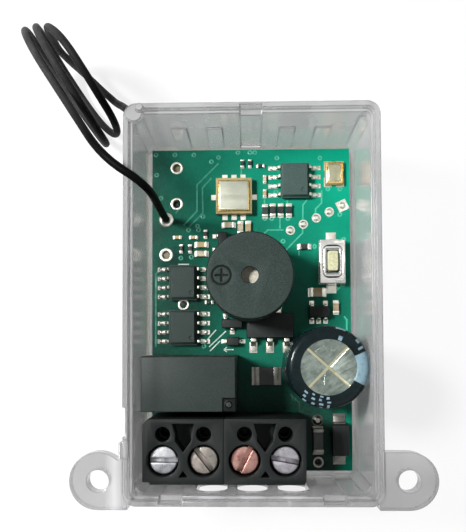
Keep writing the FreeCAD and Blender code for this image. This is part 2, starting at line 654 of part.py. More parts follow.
YOKE_BACK_X = RELAY_COIL_X0 - CORE_END_GAP - YOKE_THICKNESS
COMMON_PIN_X = YOKE_BACK_X + YOKE_THICKNESS / 2
COIL_PIN_X = RELAY_X - RELAY_LENGTH / 2 + COIL_PIN_FROM_END
RELAY_ROUND_PINS = [(COIL_PIN_X, RELAY_Y - RELAY_PIN_Y), (COIL_PIN_X, RELAY_Y + RELAY_PIN_Y),
                    (COMMON_PIN_X, RELAY_Y)]
RELAY_POST_XS = (NORMALLY_OPEN_X, NORMALLY_CLOSED_X)


def relay_cover():
    """The five-sided cover, with a small sunk corner and its vent stub."""
    outer = frustum(RELAY_X, RELAY_Y, 0, RELAY_LENGTH, RELAY_WIDTH, RELAY_HEIGHT, RELAY_DRAFT)
    inner = frustum(RELAY_X, RELAY_Y, 0, RELAY_LENGTH - 2 * RELAY_WALL, RELAY_WIDTH - 2 * RELAY_WALL,
                    RELAY_HEIGHT - RELAY_ROOF, RELAY_DRAFT)
    corner_x = RELAY_X + RELAY_LENGTH / 2 - RELAY_DRAFT
    corner_y = RELAY_Y - RELAY_WIDTH / 2 + RELAY_DRAFT
    sunk = block(corner_x, corner_y, RELAY_HEIGHT - RELAY_ROOF / 2, 2 * SUNK_CORNER_X, 2 * SUNK_CORNER_Y, 1)
    stub = disc(corner_x - VENT_STUB_X, corner_y + VENT_STUB_Y, RELAY_HEIGHT - RELAY_ROOF / 2,
                VENT_STUB_RADIUS, RELAY_ROOF / 2)
    return joined([without(outer, [inner, sunk]), stub])


def relay_base():
    """The plate that closes the cover and holds the pins."""
    gap = 2 * (RELAY_WALL + RELAY_BASE_CLEARANCE)
    plate = block(RELAY_X, RELAY_Y, RELAY_UNDER, RELAY_LENGTH - gap, RELAY_WIDTH - gap, RELAY_BASE_THICKNESS)
    cuts = [disc(x, y, -1, RELAY_PIN_RADIUS + SMALL_GAP, 4) for x, y in RELAY_ROUND_PINS]
    for x in RELAY_POST_XS:
        cuts.append(block(x + POST_THICKNESS / 2, RELAY_Y, -1, POST_THICKNESS + 2 * SMALL_GAP,
                          POST_WIDTH + 2 * SMALL_GAP, 4))
    return without(plate, cuts)


def relay_bobbin():
    """The spool: a tube with two square flanges, along X."""
    parts = [along_x(RELAY_COIL_X0, RELAY_Y, RELAY_AXIS_HEIGHT, BOBBIN_TUBE_RADIUS, BOBBIN_LENGTH)]
    for x0 in (RELAY_COIL_X0, RELAY_COIL_X0 + BOBBIN_LENGTH - BOBBIN_FLANGE_THICKNESS):
        parts.append(Part.makeBox(BOBBIN_FLANGE_THICKNESS, BOBBIN_FLANGE, BOBBIN_FLANGE,
                                  V(x0, RELAY_Y - BOBBIN_FLANGE / 2, RELAY_AXIS_HEIGHT - BOBBIN_FLANGE / 2)))
    bore = along_x(RELAY_COIL_X0 - 1, RELAY_Y, RELAY_AXIS_HEIGHT, BOBBIN_BORE_RADIUS, BOBBIN_LENGTH + 2)
    return joined(parts).cut(bore)


def relay_winding():
    """The coil of fine wire, as one plain sleeve on the spool."""
    x0 = RELAY_COIL_X0 + BOBBIN_FLANGE_THICKNESS + SMALL_GAP
    length = BOBBIN_LENGTH - 2 * BOBBIN_FLANGE_THICKNESS - 2 * SMALL_GAP
    outer = along_x(x0, RELAY_Y, RELAY_AXIS_HEIGHT, WINDING_RADIUS, length)
    return outer.cut(along_x(x0 - 1, RELAY_Y, RELAY_AXIS_HEIGHT, BOBBIN_TUBE_RADIUS + SMALL_GAP, length + 2))


def relay_yoke():
    """The bent iron frame, with the core riveted to it."""
    back_x = YOKE_BACK_X
    low = RELAY_AXIS_HEIGHT - BOBBIN_FLANGE / 2
    y0 = RELAY_Y - YOKE_WIDTH / 2
    back = Part.makeBox(YOKE_THICKNESS, YOKE_WIDTH, YOKE_TOP - low, V(back_x, y0, low))
    top = Part.makeBox(ARMATURE_X0 - 0.1 - back_x, YOKE_WIDTH, YOKE_THICKNESS,
                       V(back_x, y0, YOKE_TOP - YOKE_THICKNESS))
    core = along_x(back_x, RELAY_Y, RELAY_AXIS_HEIGHT, CORE_RADIUS, POLE_X0 - back_x + 0.1)
    face = along_x(POLE_X0, RELAY_Y, RELAY_AXIS_HEIGHT, POLE_FACE_RADIUS, POLE_FACE_THICKNESS)
    return joined([back, top, core, face])


def relay_armature():
    """The iron plate that hangs from the yoke's end and is pulled to the core."""
    low = RELAY_AXIS_HEIGHT - POLE_FACE_RADIUS - ARMATURE_BELOW_POLE
    return Part.makeBox(ARMATURE_THICKNESS, YOKE_WIDTH - 0.2, HINGE_Z - low,
                        V(ARMATURE_X0, RELAY_Y - YOKE_WIDTH / 2 + 0.1, low))


def relay_moving_contact():
    """The leaf on the armature, with a contact button on each face."""
    leaf = Part.makeBox(LEAF_THICKNESS, LEAF_WIDTH, HINGE_Z - LEAF_BELOW_HINGE - LEAF_LOW,
                        V(LEAF_X0, RELAY_Y - LEAF_WIDTH / 2, LEAF_LOW))
    buttons = along_x(LEAF_X0 - BUTTON_THICKNESS, RELAY_Y, BUTTON_Z, BUTTON_RADIUS,
                      LEAF_THICKNESS + 2 * BUTTON_THICKNESS)
    return joined([leaf, buttons])


def relay_post(x, facing):
    """One fixed contact: a post with its button and pin. facing is the side of the button."""
    low = RELAY_UNDER - 0.1
    post = block(x + POST_THICKNESS / 2, RELAY_Y, low, POST_THICKNESS, POST_WIDTH, POST_TOP - low)
    button_x = x + POST_THICKNESS if facing > 0 else x - BUTTON_THICKNESS
    button = along_x(button_x, RELAY_Y, BUTTON_Z, BUTTON_RADIUS, BUTTON_THICKNESS)
    length = BOARD_THICKNESS + PIN_BELOW_BOARD + low + 0.1
    pin = disc(x + POST_THICKNESS / 2, RELAY_Y, -BOARD_THICKNESS - PIN_BELOW_BOARD, RELAY_PIN_RADIUS, length)
    return joined([post, button, pin])


def relay_pins():
    """The two coil pins and the pin under the yoke."""
    bottom = -BOARD_THICKNESS - PIN_BELOW_BOARD
    top = RELAY_AXIS_HEIGHT - BOBBIN_FLANGE / 2
    return [disc(x, y, bottom, RELAY_PIN_RADIUS, top - bottom) for x, y in RELAY_ROUND_PINS]


# Buzzer, in the board frame

BUZZER_BASE_TOP = BUZZER_STANDOFF + BUZZER_BASE_THICKNESS
DIAPHRAGM_Z = BUZZER_BASE_TOP + MAGNET_HEIGHT + DIAPHRAGM_OVER_MAGNET


def buzzer_case():
    """The black cup with its sound hole and a sunk plus sign in a ring."""
    shell = disc(BUZZER_X, BUZZER_Y, BUZZER_STANDOFF, BUZZER_RADIUS, BUZZER_TOP - BUZZER_STANDOFF)
    rim = [e for e in shell.Edges if abs(e.BoundBox.ZMin - BUZZER_TOP) < 1e-6]
    shell = shell.makeFillet(BUZZER_EDGE, rim)
    inside = disc(BUZZER_X, BUZZER_Y, BUZZER_STANDOFF - 1, BUZZER_RADIUS - BUZZER_WALL,
                  BUZZER_TOP - BUZZER_ROOF - BUZZER_STANDOFF + 1)
    hole = disc(BUZZER_X, BUZZER_Y, BUZZER_STANDOFF, BUZZER_HOLE_RADIUS, BUZZER_TOP)
    sunk_z = BUZZER_TOP - POLARITY_DEPTH
    px = BUZZER_X + POLARITY_X
    circle = ring(px, BUZZER_Y, sunk_z, POLARITY_RADIUS, POLARITY_RADIUS - POLARITY_LINE, 1)
    arms = [block(px, BUZZER_Y, sunk_z, 2 * POLARITY_ARM, POLARITY_LINE, 1),
            block(px, BUZZER_Y, sunk_z, POLARITY_LINE, 2 * POLARITY_ARM, 1)]
    return without(shell, [inside, hole, circle] + arms)


def buzzer_base():
    """The bottom plate with the ring that carries the diaphragm."""
    radius = BUZZER_RADIUS - BUZZER_WALL - BUZZER_BASE_GAP
    plate = disc(BUZZER_X, BUZZER_Y, BUZZER_STANDOFF, radius, BUZZER_BASE_THICKNESS)
    wall = ring(BUZZER_X, BUZZER_Y, BUZZER_BASE_TOP - 0.1, radius, radius - DIAPHRAGM_SEAT,
                DIAPHRAGM_Z - BUZZER_BASE_TOP + 0.1)
    return joined([plate, wall])


def buzzer_diaphragm():
    """The thin steel disc with its centre weight."""
    plate = disc(BUZZER_X, BUZZER_Y, DIAPHRAGM_Z, DIAPHRAGM_RADIUS, DIAPHRAGM_THICKNESS)
    weight = disc(BUZZER_X, BUZZER_Y, DIAPHRAGM_Z + DIAPHRAGM_THICKNESS / 2, DIAPHRAGM_WEIGHT_RADIUS,
                  DIAPHRAGM_THICKNESS / 2 + DIAPHRAGM_WEIGHT_THICKNESS)
    return joined([plate, weight])


def buzzer_pins():
    """The two pins that hold the buzzer over the board."""
    bottom = -BOARD_THICKNESS - PIN_BELOW_BOARD
    length = BUZZER_STANDOFF - bottom
    return [disc(BUZZER_X + s * BUZZER_PIN_PITCH / 2, BUZZER_Y, bottom, BUZZER_PIN_RADIUS, length)
            for s in (-1, 1)]


# Capacitor, in the board frame

def rounded_disc(cx, cy, z0, radius, height, edge):
    """An upright cylinder with its top edge rounded."""
    solid = disc(cx, cy, z0, radius, height)
    rim = [e for e in solid.Edges if abs(e.BoundBox.ZMin - z0 - height) < 1e-6]
    return solid.makeFillet(edge, rim)


CAN_RADIUS = CAPACITOR_RADIUS - SLEEVE_THICKNESS - CAN_GAP
CAN_BOTTOM = CAPACITOR_STANDOFF + SLEEVE_THICKNESS + CAN_GAP
CAN_TOP = CAPACITOR_HEIGHT - SLEEVE_THICKNESS - CAN_GAP
BUNG_RADIUS = CAN_RADIUS - CAN_THICKNESS - CAN_GAP
ELEMENT_BOTTOM = CAN_BOTTOM + BUNG_HEIGHT + ELEMENT_BOTTOM_ROOM
ELEMENT_HEIGHT = CAN_TOP - CAN_THICKNESS - ELEMENT_TOP_ROOM - ELEMENT_BOTTOM


def capacitor_sleeve():
    """The shrunk sleeve, turned in over both ends of the can."""
    height = CAPACITOR_HEIGHT - CAPACITOR_STANDOFF
    outer = rounded_disc(CAPACITOR_X, CAPACITOR_Y, CAPACITOR_STANDOFF, CAPACITOR_RADIUS, height, CAN_ROUND)
    inner = rounded_disc(CAPACITOR_X, CAPACITOR_Y, CAPACITOR_STANDOFF + SLEEVE_THICKNESS,
                         CAPACITOR_RADIUS - SLEEVE_THICKNESS, height - 2 * SLEEVE_THICKNESS,
                         CAN_ROUND - SLEEVE_THICKNESS)
    mouth = disc(CAPACITOR_X, CAPACITOR_Y, CAPACITOR_HEIGHT / 2, SLEEVE_LIP_RADIUS, CAPACITOR_HEIGHT)
    foot = disc(CAPACITOR_X, CAPACITOR_Y, 0, BUNG_RADIUS, CAPACITOR_HEIGHT / 2)
    return without(outer, [inner, mouth, foot])


def capacitor_can():
    """The aluminium can with the crossed vent lines pressed in its top."""
    can = rounded_disc(CAPACITOR_X, CAPACITOR_Y, CAN_BOTTOM, CAN_RADIUS, CAN_TOP - CAN_BOTTOM,
                       CAN_ROUND - SLEEVE_THICKNESS)
    inside = disc(CAPACITOR_X, CAPACITOR_Y, CAN_BOTTOM - 1, CAN_RADIUS - CAN_THICKNESS,
                  CAN_TOP - CAN_THICKNESS - CAN_BOTTOM + 1)
    vent = block(CAPACITOR_X, CAPACITOR_Y, CAN_TOP - VENT_DEPTH, VENT_LENGTH, VENT_WIDTH, 1)
    vents = [turned(vent, CAPACITOR_X, CAPACITOR_Y, a) for a in VENT_ANGLES]
    return without(can, [inside] + vents)


def capacitor_lead_spots():
    """The two leads' places."""
    return [(CAPACITOR_X + s * CAPACITOR_LEAD_PITCH / 2, CAPACITOR_Y) for s in (-1, 1)]


def capacitor_bung():
    """The rubber plug in the can's mouth."""
    plug = disc(CAPACITOR_X, CAPACITOR_Y, CAN_BOTTOM, BUNG_RADIUS, BUNG_HEIGHT)
    radius = CAPACITOR_LEAD_RADIUS + SMALL_GAP
    return without(plug, [disc(x, y, 0, radius, CAPACITOR_HEIGHT) for x, y in capacitor_lead_spots()])


def capacitor_leads():
    """The two wire leads, up to the rolled element."""
    bottom = -BOARD_THICKNESS - PIN_BELOW_BOARD
    length = ELEMENT_BOTTOM - bottom
    return [disc(x, y, bottom, CAPACITOR_LEAD_RADIUS, length) for x, y in capacitor_lead_spots()]


# Push switch, in the board frame

def switch_base():
    """The black body with the cavity for the dome and the button's flange."""
    body = block(SWITCH_X, SWITCH_Y, 0, SWITCH_WIDTH - 2 * SWITCH_BODY_INSET,
                 SWITCH_LENGTH - 2 * SWITCH_BODY_INSET, SWITCH_BASE_HEIGHT)
    cavity = rounded_block(SWITCH_X, SWITCH_Y, SWITCH_FLOOR, SWITCH_CAVITY_WIDTH, SWITCH_CAVITY_LENGTH,
                           SWITCH_BASE_HEIGHT - SWITCH_ROOF - SWITCH_FLOOR, BUTTON_ROUND)
    hole = rounded_block(SWITCH_X, SWITCH_Y, SWITCH_FLOOR, BUTTON_WIDTH + 2 * BUTTON_SIDE_GAP,
                         BUTTON_LENGTH + 2 * BUTTON_SIDE_GAP, 3, BUTTON_ROUND + BUTTON_SIDE_GAP)
    return without(body, [cavity, hole])


def switch_frame():
    """The bright metal cover with its rounded window."""
    outer = block(SWITCH_X, SWITCH_Y, SWITCH_SKIRT, SWITCH_WIDTH, SWITCH_LENGTH,
                  SWITCH_BASE_HEIGHT + SWITCH_FRAME_THICKNESS - SWITCH_SKIRT)
    room = 2 * (SWITCH_BODY_INSET - SMALL_GAP)
    inner = block(SWITCH_X, SWITCH_Y, 0, SWITCH_WIDTH - room, SWITCH_LENGTH - room, SWITCH_BASE_HEIGHT)
    window = rounded_block(SWITCH_X, SWITCH_Y, 0, SWITCH_WINDOW_WIDTH, SWITCH_WINDOW_LENGTH, 9,
                           SWITCH_WINDOW_ROUND)
    return without(outer, [inner, window])


FLANGE_TOP = SWITCH_BASE_HEIGHT - SWITCH_ROOF - FLANGE_ROOM
FLANGE_BOTTOM = FLANGE_TOP - BUTTON_FLANGE_THICKNESS
DOME_TOP = FLANGE_BOTTOM - DOME_ROOM


def switch_button():
    """The cream key with the flange that keeps it in."""
    stem = rounded_block(SWITCH_X, SWITCH_Y, FLANGE_BOTTOM, BUTTON_WIDTH, BUTTON_LENGTH,
                         BUTTON_TOP - FLANGE_BOTTOM, BUTTON_ROUND)
    flange = block(SWITCH_X, SWITCH_Y, FLANGE_BOTTOM, BUTTON_WIDTH + 2 * BUTTON_FLANGE,
                   BUTTON_LENGTH + 2 * BUTTON_FLANGE, BUTTON_FLANGE_THICKNESS)
    return joined([stem, flange])


def switch_dome():
    """The sprung steel dome under the key."""
    rise = DOME_TOP - SWITCH_FLOOR
    radius = (DOME_RADIUS ** 2 + rise ** 2) / (2 * rise)
    centre = V(SWITCH_X, SWITCH_Y, DOME_TOP - radius)
    shell = Part.makeSphere(radius, centre).cut(Part.makeSphere(radius - DOME_THICKNESS, centre))
    return shell.common(block(SWITCH_X, SWITCH_Y, SWITCH_FLOOR, 9, 9, 9))


def switch_leads():
    """A bent lead at each end of the switch."""
    leads = []
    for side in (-1, 1):
        y = SWITCH_Y + side * SWITCH_LENGTH / 2
        riser = block(SWITCH_X, y + side * LEAD_THICKNESS / 2, PAD_THICKNESS, SWITCH_LEAD_WIDTH, LEAD_THICKNESS,
                      SWITCH_LEAD_HEIGHT)
        foot = block(SWITCH_X, y + side * SWITCH_LEAD_REACH / 2, PAD_THICKNESS, SWITCH_LEAD_WIDTH,
                     SWITCH_LEAD_REACH, LEAD_THICKNESS)
        leads.append(joined([riser, foot]))
    return leads


# Surface parts, in the board frame

def moulded(cx, cy, dx, dy, height):
    """A moulded chip body, widest at half height."""
    half = height / 2
    low = frustum(cx, cy, STANDOFF, dx - 2 * MOULD_DRAFT, dy - 2 * MOULD_DRAFT, half, -MOULD_DRAFT)
    high = frustum(cx, cy, STANDOFF + half, dx, dy, half, MOULD_DRAFT)
    return joined([low, high])


def gull_lead(cx, cy, heading, reach, width, shoulder, thickness):
    """A bent lead from (cx, cy) on a body's side, out along heading in degrees, down to its pad."""
    low = PAD_THICKNESS
    high = shoulder + thickness / 2
    outline = [(0, high), (0.25 * reach, high), (0.6 * reach, low + thickness), (reach, low + thickness),
               (reach, low), (0.5 * reach, low), (0.15 * reach, high - thickness), (0, high - thickness)]
    corners = [V(s, -width / 2, z) for s, z in outline]
    solid = Part.Face(Part.makePolygon(corners + corners[:1])).extrude(V(0, width, 0))
    solid.rotate(V(0, 0, 0), UP, heading)
    solid.translate(V(cx, cy, 0))
    return solid


CHIP_WIDTH = 3.9
CHIP_LENGTH = 4.9
CHIP_HEIGHT = 1.45
CHIP_PITCH = 1.27
CHIP_PINS_PER_SIDE = 4
CHIP_LEAD_REACH = 1.05
CHIP_LEAD_WIDTH = 0.42
CHIP_MARK_RADIUS = 0.28
RECEIVER_CHIP = (6.12, ANTENNA_LINE + 10.74)
LOGIC_CHIPS = [(-9.4, CHIP_LINE + 9.99), (-9.4, CHIP_LINE + 3.77)]
STANDOFF = 0.15                  # moulded bodies above the board
MOULD_DRAFT = 0.12
MARK_DEPTH = 0.06
MARK_X = 1.15
MARK_Y = -1.45


def chip_body(cx, cy):
    """One eight-pin chip body with its round first-pin mark."""
    body = moulded(cx, cy, CHIP_WIDTH, CHIP_LENGTH, CHIP_HEIGHT)
    mark = disc(cx + MARK_X, cy + MARK_Y, STANDOFF + CHIP_HEIGHT - MARK_DEPTH, CHIP_MARK_RADIUS, 1)
    return body.cut(mark)


def chip_rows(cy):
    """The y of each pin on one side of a chip."""
    first = cy + CHIP_PITCH * (CHIP_PINS_PER_SIDE - 1) / 2
    return [first - CHIP_PITCH * i for i in range(CHIP_PINS_PER_SIDE)]


def chip_leads(cx, cy):
    """The eight bent leads of one chip."""
    shoulder = STANDOFF + CHIP_HEIGHT / 2
    leads = []
    for y in chip_rows(cy):
        leads.append(gull_lead(cx + CHIP_WIDTH / 2, y, 0, CHIP_LEAD_REACH, CHIP_LEAD_WIDTH, shoulder,
                               LEAD_THICKNESS))
        leads.append(gull_lead(cx - CHIP_WIDTH / 2, y, 180, CHIP_LEAD_REACH, CHIP_LEAD_WIDTH, shoulder,
                               LEAD_THICKNESS))
    return leads


REGULATOR = (2.58, CHIP_LINE + 3.99)
REGULATOR_WIDTH = 6.5
REGULATOR_LENGTH = 3.5
REGULATOR_HEIGHT = 1.55
REGULATOR_PITCH = 2.3
REGULATOR_REACH = 1.75
REGULATOR_LEAD_WIDTH = 0.7
REGULATOR_TAB_WIDTH = 3.0
REGULATOR_LEAD_THICKNESS = 0.28
FIVE_PIN = (9.33, CHIP_LINE + 5.84)
THREE_PIN_UPPER = (-3.9, ANTENNA_LINE + 2.2)
THREE_PIN_LOWER = (-2.65, CHIP_LINE + 4.29)
SMALL_DIODE = (-2.52, CHIP_LINE + 1.84)
SMALL_HEIGHT = 1.0
SMALL_LENGTH = 2.9
FIVE_PIN_WIDTH = 1.6
THREE_PIN_WIDTH = 1.3
SMALL_DIODE_LENGTH = 1.75
SMALL_DIODE_WIDTH = 1.25
SMALL_PITCH = 0.95
SMALL_LEAD_WIDTH = 0.4
DIODE_LEAD_WIDTH = 0.5


def small_bodies():
    """The five-pin chip, the two three-pin transistors and the small diode."""
    x5, y5 = FIVE_PIN
    xu, yu = THREE_PIN_UPPER
    xl, yl = THREE_PIN_LOWER
    xd, yd = SMALL_DIODE
    return [moulded(x5, y5, SMALL_LENGTH, FIVE_PIN_WIDTH, SMALL_HEIGHT),
            moulded(xu, yu, THREE_PIN_WIDTH, SMALL_LENGTH, SMALL_HEIGHT),
            moulded(xl, yl, SMALL_LENGTH, THREE_PIN_WIDTH, SMALL_HEIGHT),
            moulded(xd, yd, SMALL_DIODE_LENGTH, SMALL_DIODE_WIDTH, SMALL_HEIGHT)]


def small_lead_spots():
    """Each lead of the small bodies: start x, y, heading, width."""
    x5, y5 = FIVE_PIN
    xu, yu = THREE_PIN_UPPER
    xl, yl = THREE_PIN_LOWER
    xd, yd = SMALL_DIODE
    half5 = FIVE_PIN_WIDTH / 2
    half3 = THREE_PIN_WIDTH / 2
    half_d = SMALL_DIODE_LENGTH / 2
    step = SMALL_PITCH
    width = SMALL_LEAD_WIDTH
    spots = [(x5 + dx, y5 - half5, -90, width) for dx in (-step, 0, step)]
    spots += [(x5 + dx, y5 + half5, 90, width) for dx in (-step, step)]
    spots += [(xu - half3, yu + dy, 180, width) for dy in (-step, step)]
    spots += [(xl + dx, yl + half3, 90, width) for dx in (-step, step)]
    spots += [(xu + half3, yu, 0, width), (xl, yl - half3, -90, width)]
    spots += [(xd - half_d, yd, 180, DIODE_LEAD_WIDTH), (xd + half_d, yd, 0, DIODE_LEAD_WIDTH)]
    return spots


SMALL_REACH = 0.6


def small_leads():
    """The bent leads of the small bodies."""
    shoulder = STANDOFF + SMALL_HEIGHT / 2
    return [gull_lead(x, y, heading, SMALL_REACH, width, shoulder, LEAD_THICKNESS)
            for x, y, heading, width in small_lead_spots()]


def regulator_leads():
    """Three narrow leads on one side of the regulator and the wide tab on the other."""
    x, y = REGULATOR
    side = REGULATOR_LENGTH / 2
    shoulder = STANDOFF + REGULATOR_HEIGHT / 2
    leads = [gull_lead(x + i * REGULATOR_PITCH, y - side, -90, REGULATOR_REACH, REGULATOR_LEAD_WIDTH, shoulder,
                       REGULATOR_LEAD_THICKNESS) for i in (-1, 0, 1)]
    leads.append(gull_lead(x, y + side, 90, REGULATOR_REACH, REGULATOR_TAB_WIDTH, shoulder,
                           REGULATOR_LEAD_THICKNESS))
    return leads


FILTER = (-2.33, ANTENNA_LINE + 8.62)
FILTER_SIZE = 5.0
FILTER_BASE_HEIGHT = 1.0
FILTER_LID_HEIGHT = 0.4
FILTER_LIP = 0.35
CRYSTAL = (11.62, ANTENNA_LINE + 11.75)
CRYSTAL_WIDTH = 2.6
CRYSTAL_LENGTH = 3.25
CRYSTAL_BASE_HEIGHT = 0.5
CRYSTAL_LID_HEIGHT = 0.3
CRYSTAL_LIP = 0.15
LID_ROUND = 0.35


def lidded(cx, cy, dx, dy, base_height, lid_height, lip):
    """A ceramic base and its metal lid, both on the pads."""
    base = block(cx, cy, PAD_THICKNESS, dx, dy, base_height)
    lid = rounded_block(cx, cy, PAD_THICKNESS + base_height, dx - 2 * lip, dy - 2 * lip, lid_height,
                        LID_ROUND)
    return base, lid


POWER_DIODE = (11.98, BLOCK_FRONT + 4.45)
POWER_DIODE_WIDTH = 2.4
POWER_DIODE_LENGTH = 4.3
POWER_DIODE_HEIGHT = 2.1
POWER_TAB_WIDTH = 1.5
POWER_TAB_HEIGHT = 1.2
POWER_TAB_REACH = 1.0
FUSE = (9.08, BLOCK_FRONT + 4.25)
FUSE_WIDTH = 1.45
FUSE_LENGTH = 3.3
FUSE_HEIGHT = 0.9
FUSE_END = 0.5


def power_diode_tabs():
    """The two folded tabs of the power diode."""
    x, y = POWER_DIODE
    tabs = []
    for side in (-1, 1):
        edge = y + side * POWER_DIODE_LENGTH / 2
        riser = block(x, edge + side * LEAD_THICKNESS / 2, PAD_THICKNESS, POWER_TAB_WIDTH, LEAD_THICKNESS,
                      POWER_TAB_HEIGHT)
        foot = block(x, edge + side * POWER_TAB_REACH / 2, PAD_THICKNESS, POWER_TAB_WIDTH, POWER_TAB_REACH,
                     LEAD_THICKNESS)
        tabs.append(joined([riser, foot]))
    return tabs


# Chip parts: x, y from the row's line, True for a part that lies along Y, name of its size
SIZES = {"small": (1.0, 0.5, 0.35), "medium": (1.6, 0.8, 0.45), "large": (2.0, 1.25, 0.6),
         "power": (3.2, 2.5, 0.6)}
ANTENNA_END_CAPACITORS = [
    (-3.08, 4.67, False, "medium"), (-1.44, 4.3, True, "medium"), (-0.37, 4.3, True, "medium"),
    (-6.89, 1.95, False, "medium"), (-6.89, 0.69, False, "medium"), (-10.28, 3.01, False, "small"),
    (-8.0, 2.99, False, "small"), (1.97, 11.1, True, "small"), (1.96, 9.1, True, "small"),
]
CHIP_ROW_CAPACITORS = [(9.14, 8.59, False, "large"), (11.7, 6.49, True, "medium")]
ANTENNA_END_RESISTORS = [
    (-6.34, 3.45, True, "small"), (7.41, 1.57, False, "medium"), (-9.75, 1.43, True, "small"),
    (-8.49, 1.42, True, "small"), (1.4, 12.97, False, "small"), (-1.13, 13.34, True, "small"),
    (-0.1, 13.34, True, "small"), (2.0, 6.62, True, "medium"), (3.06, 6.71, True, "medium"),
    (4.17, 6.7, True, "medium"), (5.32, 6.69, True, "medium"),
]
CHIP_ROW_RESISTORS = [(-5.83, 7.29, False, "small"), (2.05, -2.96, False, "power")]


def placed(parts, line):
    """The parts with y counted from the board's middle instead of from a row's line."""
    return [(x, line + y, upright, size) for x, y, upright, size in parts]


CHIP_CAPACITORS = placed(ANTENNA_END_CAPACITORS, ANTENNA_LINE) + placed(CHIP_ROW_CAPACITORS, CHIP_LINE)
CHIP_RESISTORS = placed(ANTENNA_END_RESISTORS, ANTENNA_LINE) + placed(CHIP_ROW_RESISTORS, CHIP_LINE)
END_SHARE = 0.2


def chip_block(x, y, upright, length, width, z0, height):
    """A box of a chip part, along X, or along Y if upright."""
    dx, dy = (width, length) if upright else (length, width)
    return block(x, y, z0, dx, dy, height)


def chip_middles(parts):
    """The ceramic middles of the chip parts."""
    found = []
    for x, y, upright, size in parts:
        length, width, height = SIZES[size]
        found.append(chip_block(x, y, upright, length * (1 - 2 * END_SHARE), width - 0.04, PAD_THICKNESS,
                                height - 0.03))
    return found


def end_spots(x, y, upright, length, share):
    """The middles of a chip part's two ends."""
    offset = length * (0.5 - share / 2)
    return [(x, y + s * offset) if upright else (x + s * offset, y) for s in (-1, 1)]


def chip_ends():
    """The tinned ends of the chip parts and the fuse."""
    found = []
    for x, y, upright, size in CHIP_CAPACITORS + CHIP_RESISTORS:
        length, width, height = SIZES[size]
        for ex, ey in end_spots(x, y, upright, length, END_SHARE):
            found.append(chip_block(ex, ey, upright, length * END_SHARE, width, PAD_THICKNESS, height))
    fx, fy = FUSE
    for ex, ey in end_spots(fx, fy, True, FUSE_LENGTH, FUSE_END / FUSE_LENGTH):
        found.append(block(ex, ey, PAD_THICKNESS, FUSE_WIDTH, FUSE_END, FUSE_HEIGHT))
    return found


# Holes, pads and solder, in the board frame

SPARE_HOLES = [(-10.36, ANTENNA_LINE + 12.84), (-10.36, ANTENNA_LINE + 7.77), (-11.85, ANTENNA_LINE + 0.59)]
SPARE_HOLE_RADIUS = 0.55
SPARE_RING_RADIUS = 0.87
ANTENNA_HOLE = (-11.85, ANTENNA_LINE + 5.55)
ANTENNA_HOLE_RADIUS = 0.36
ANTENNA_RING_RADIUS = 1.0
FUSE_HOLES = [(9.05, BLOCK_FRONT + 7.0), (9.1, BLOCK_FRONT + 1.25)]
FUSE_HOLE_RADIUS = 0.45
FUSE_RING_RADIUS = 0.78
SMALL_HOLE = (-9.43, CHIP_LINE + 7.14)
SMALL_HOLE_RADIUS = 0.2
TEST_PAD_START = (5.51, ANTENNA_LINE + 3.91)
TEST_PAD_PITCH = 2.0
TEST_PAD_COUNT = 5
TEST_PAD_HEADING = 25.2
TEST_PAD_RADIUS = 0.65
TEST_PAD_SQUARE = 1.5
SOLDER_HEIGHT = 0.8
SOLDER_ROOT_RADIUS = 0.95
SOLDER_TIP_RADIUS = 0.45
FLAT_PIN_EXTRA = 0.2
FUSE_SOLDER_HEIGHT = 0.35


def round_pin_spots():
    """Every round pin through the board: x, y, radius."""
    spots = [(x, y, RELAY_PIN_RADIUS) for x, y in RELAY_ROUND_PINS]
    spots += [(x + POST_THICKNESS / 2, RELAY_Y, RELAY_PIN_RADIUS) for x in RELAY_POST_XS]
    spots += [(BUZZER_X + s * BUZZER_PIN_PITCH / 2, BUZZER_Y, BUZZER_PIN_RADIUS) for s in (-1, 1)]
    spots += [(x, y, CAPACITOR_LEAD_RADIUS) for x, y in capacitor_lead_spots()]
    return spots


def terminal_pin_spots():
    """The flat pins of the terminal blocks."""
    return [(pole_x(i), POLE_Y + TEST_HOLE_BEHIND) for i in range(POLE_COUNT)]


def circuit_board():
    """The board with all its drilled holes."""
    board = block(0, 0, -BOARD_THICKNESS, BOARD_WIDTH, BOARD_LENGTH, BOARD_THICKNESS)
    holes = [(x, y, r + PIN_HOLE_CLEARANCE) for x, y, r in round_pin_spots()]
    flat_pin = math.hypot(CONTACT_PIN_WIDTH, CONTACT_THICKNESS) / 2
    holes += [(x, y, flat_pin + PIN_HOLE_CLEARANCE) for x, y in terminal_pin_spots()]
    holes += [(x, y, SPARE_HOLE_RADIUS) for x, y in SPARE_HOLES]
    holes += [(x, y, FUSE_HOLE_RADIUS) for x, y in FUSE_HOLES]
    holes.append(ANTENNA_HOLE + (ANTENNA_HOLE_RADIUS,))
    holes.append(SMALL_HOLE + (SMALL_HOLE_RADIUS,))
    drills = [disc(x, y, -BOARD_THICKNESS - 1, r, BOARD_THICKNESS + 2) for x, y, r in holes]
    return board.cut(Part.makeCompound(drills))


def ring_pads():
    """The tinned rings round the open holes."""
    rings = [ring(x, y, 0, SPARE_RING_RADIUS, SPARE_HOLE_RADIUS, PAD_THICKNESS) for x, y in SPARE_HOLES]
    rings += [ring(x, y, 0, FUSE_RING_RADIUS, FUSE_HOLE_RADIUS, PAD_THICKNESS) for x, y in FUSE_HOLES]
    x, y = ANTENNA_HOLE
    rings.append(ring(x, y, 0, ANTENNA_RING_RADIUS, ANTENNA_HOLE_RADIUS, PAD_THICKNESS))
    return rings


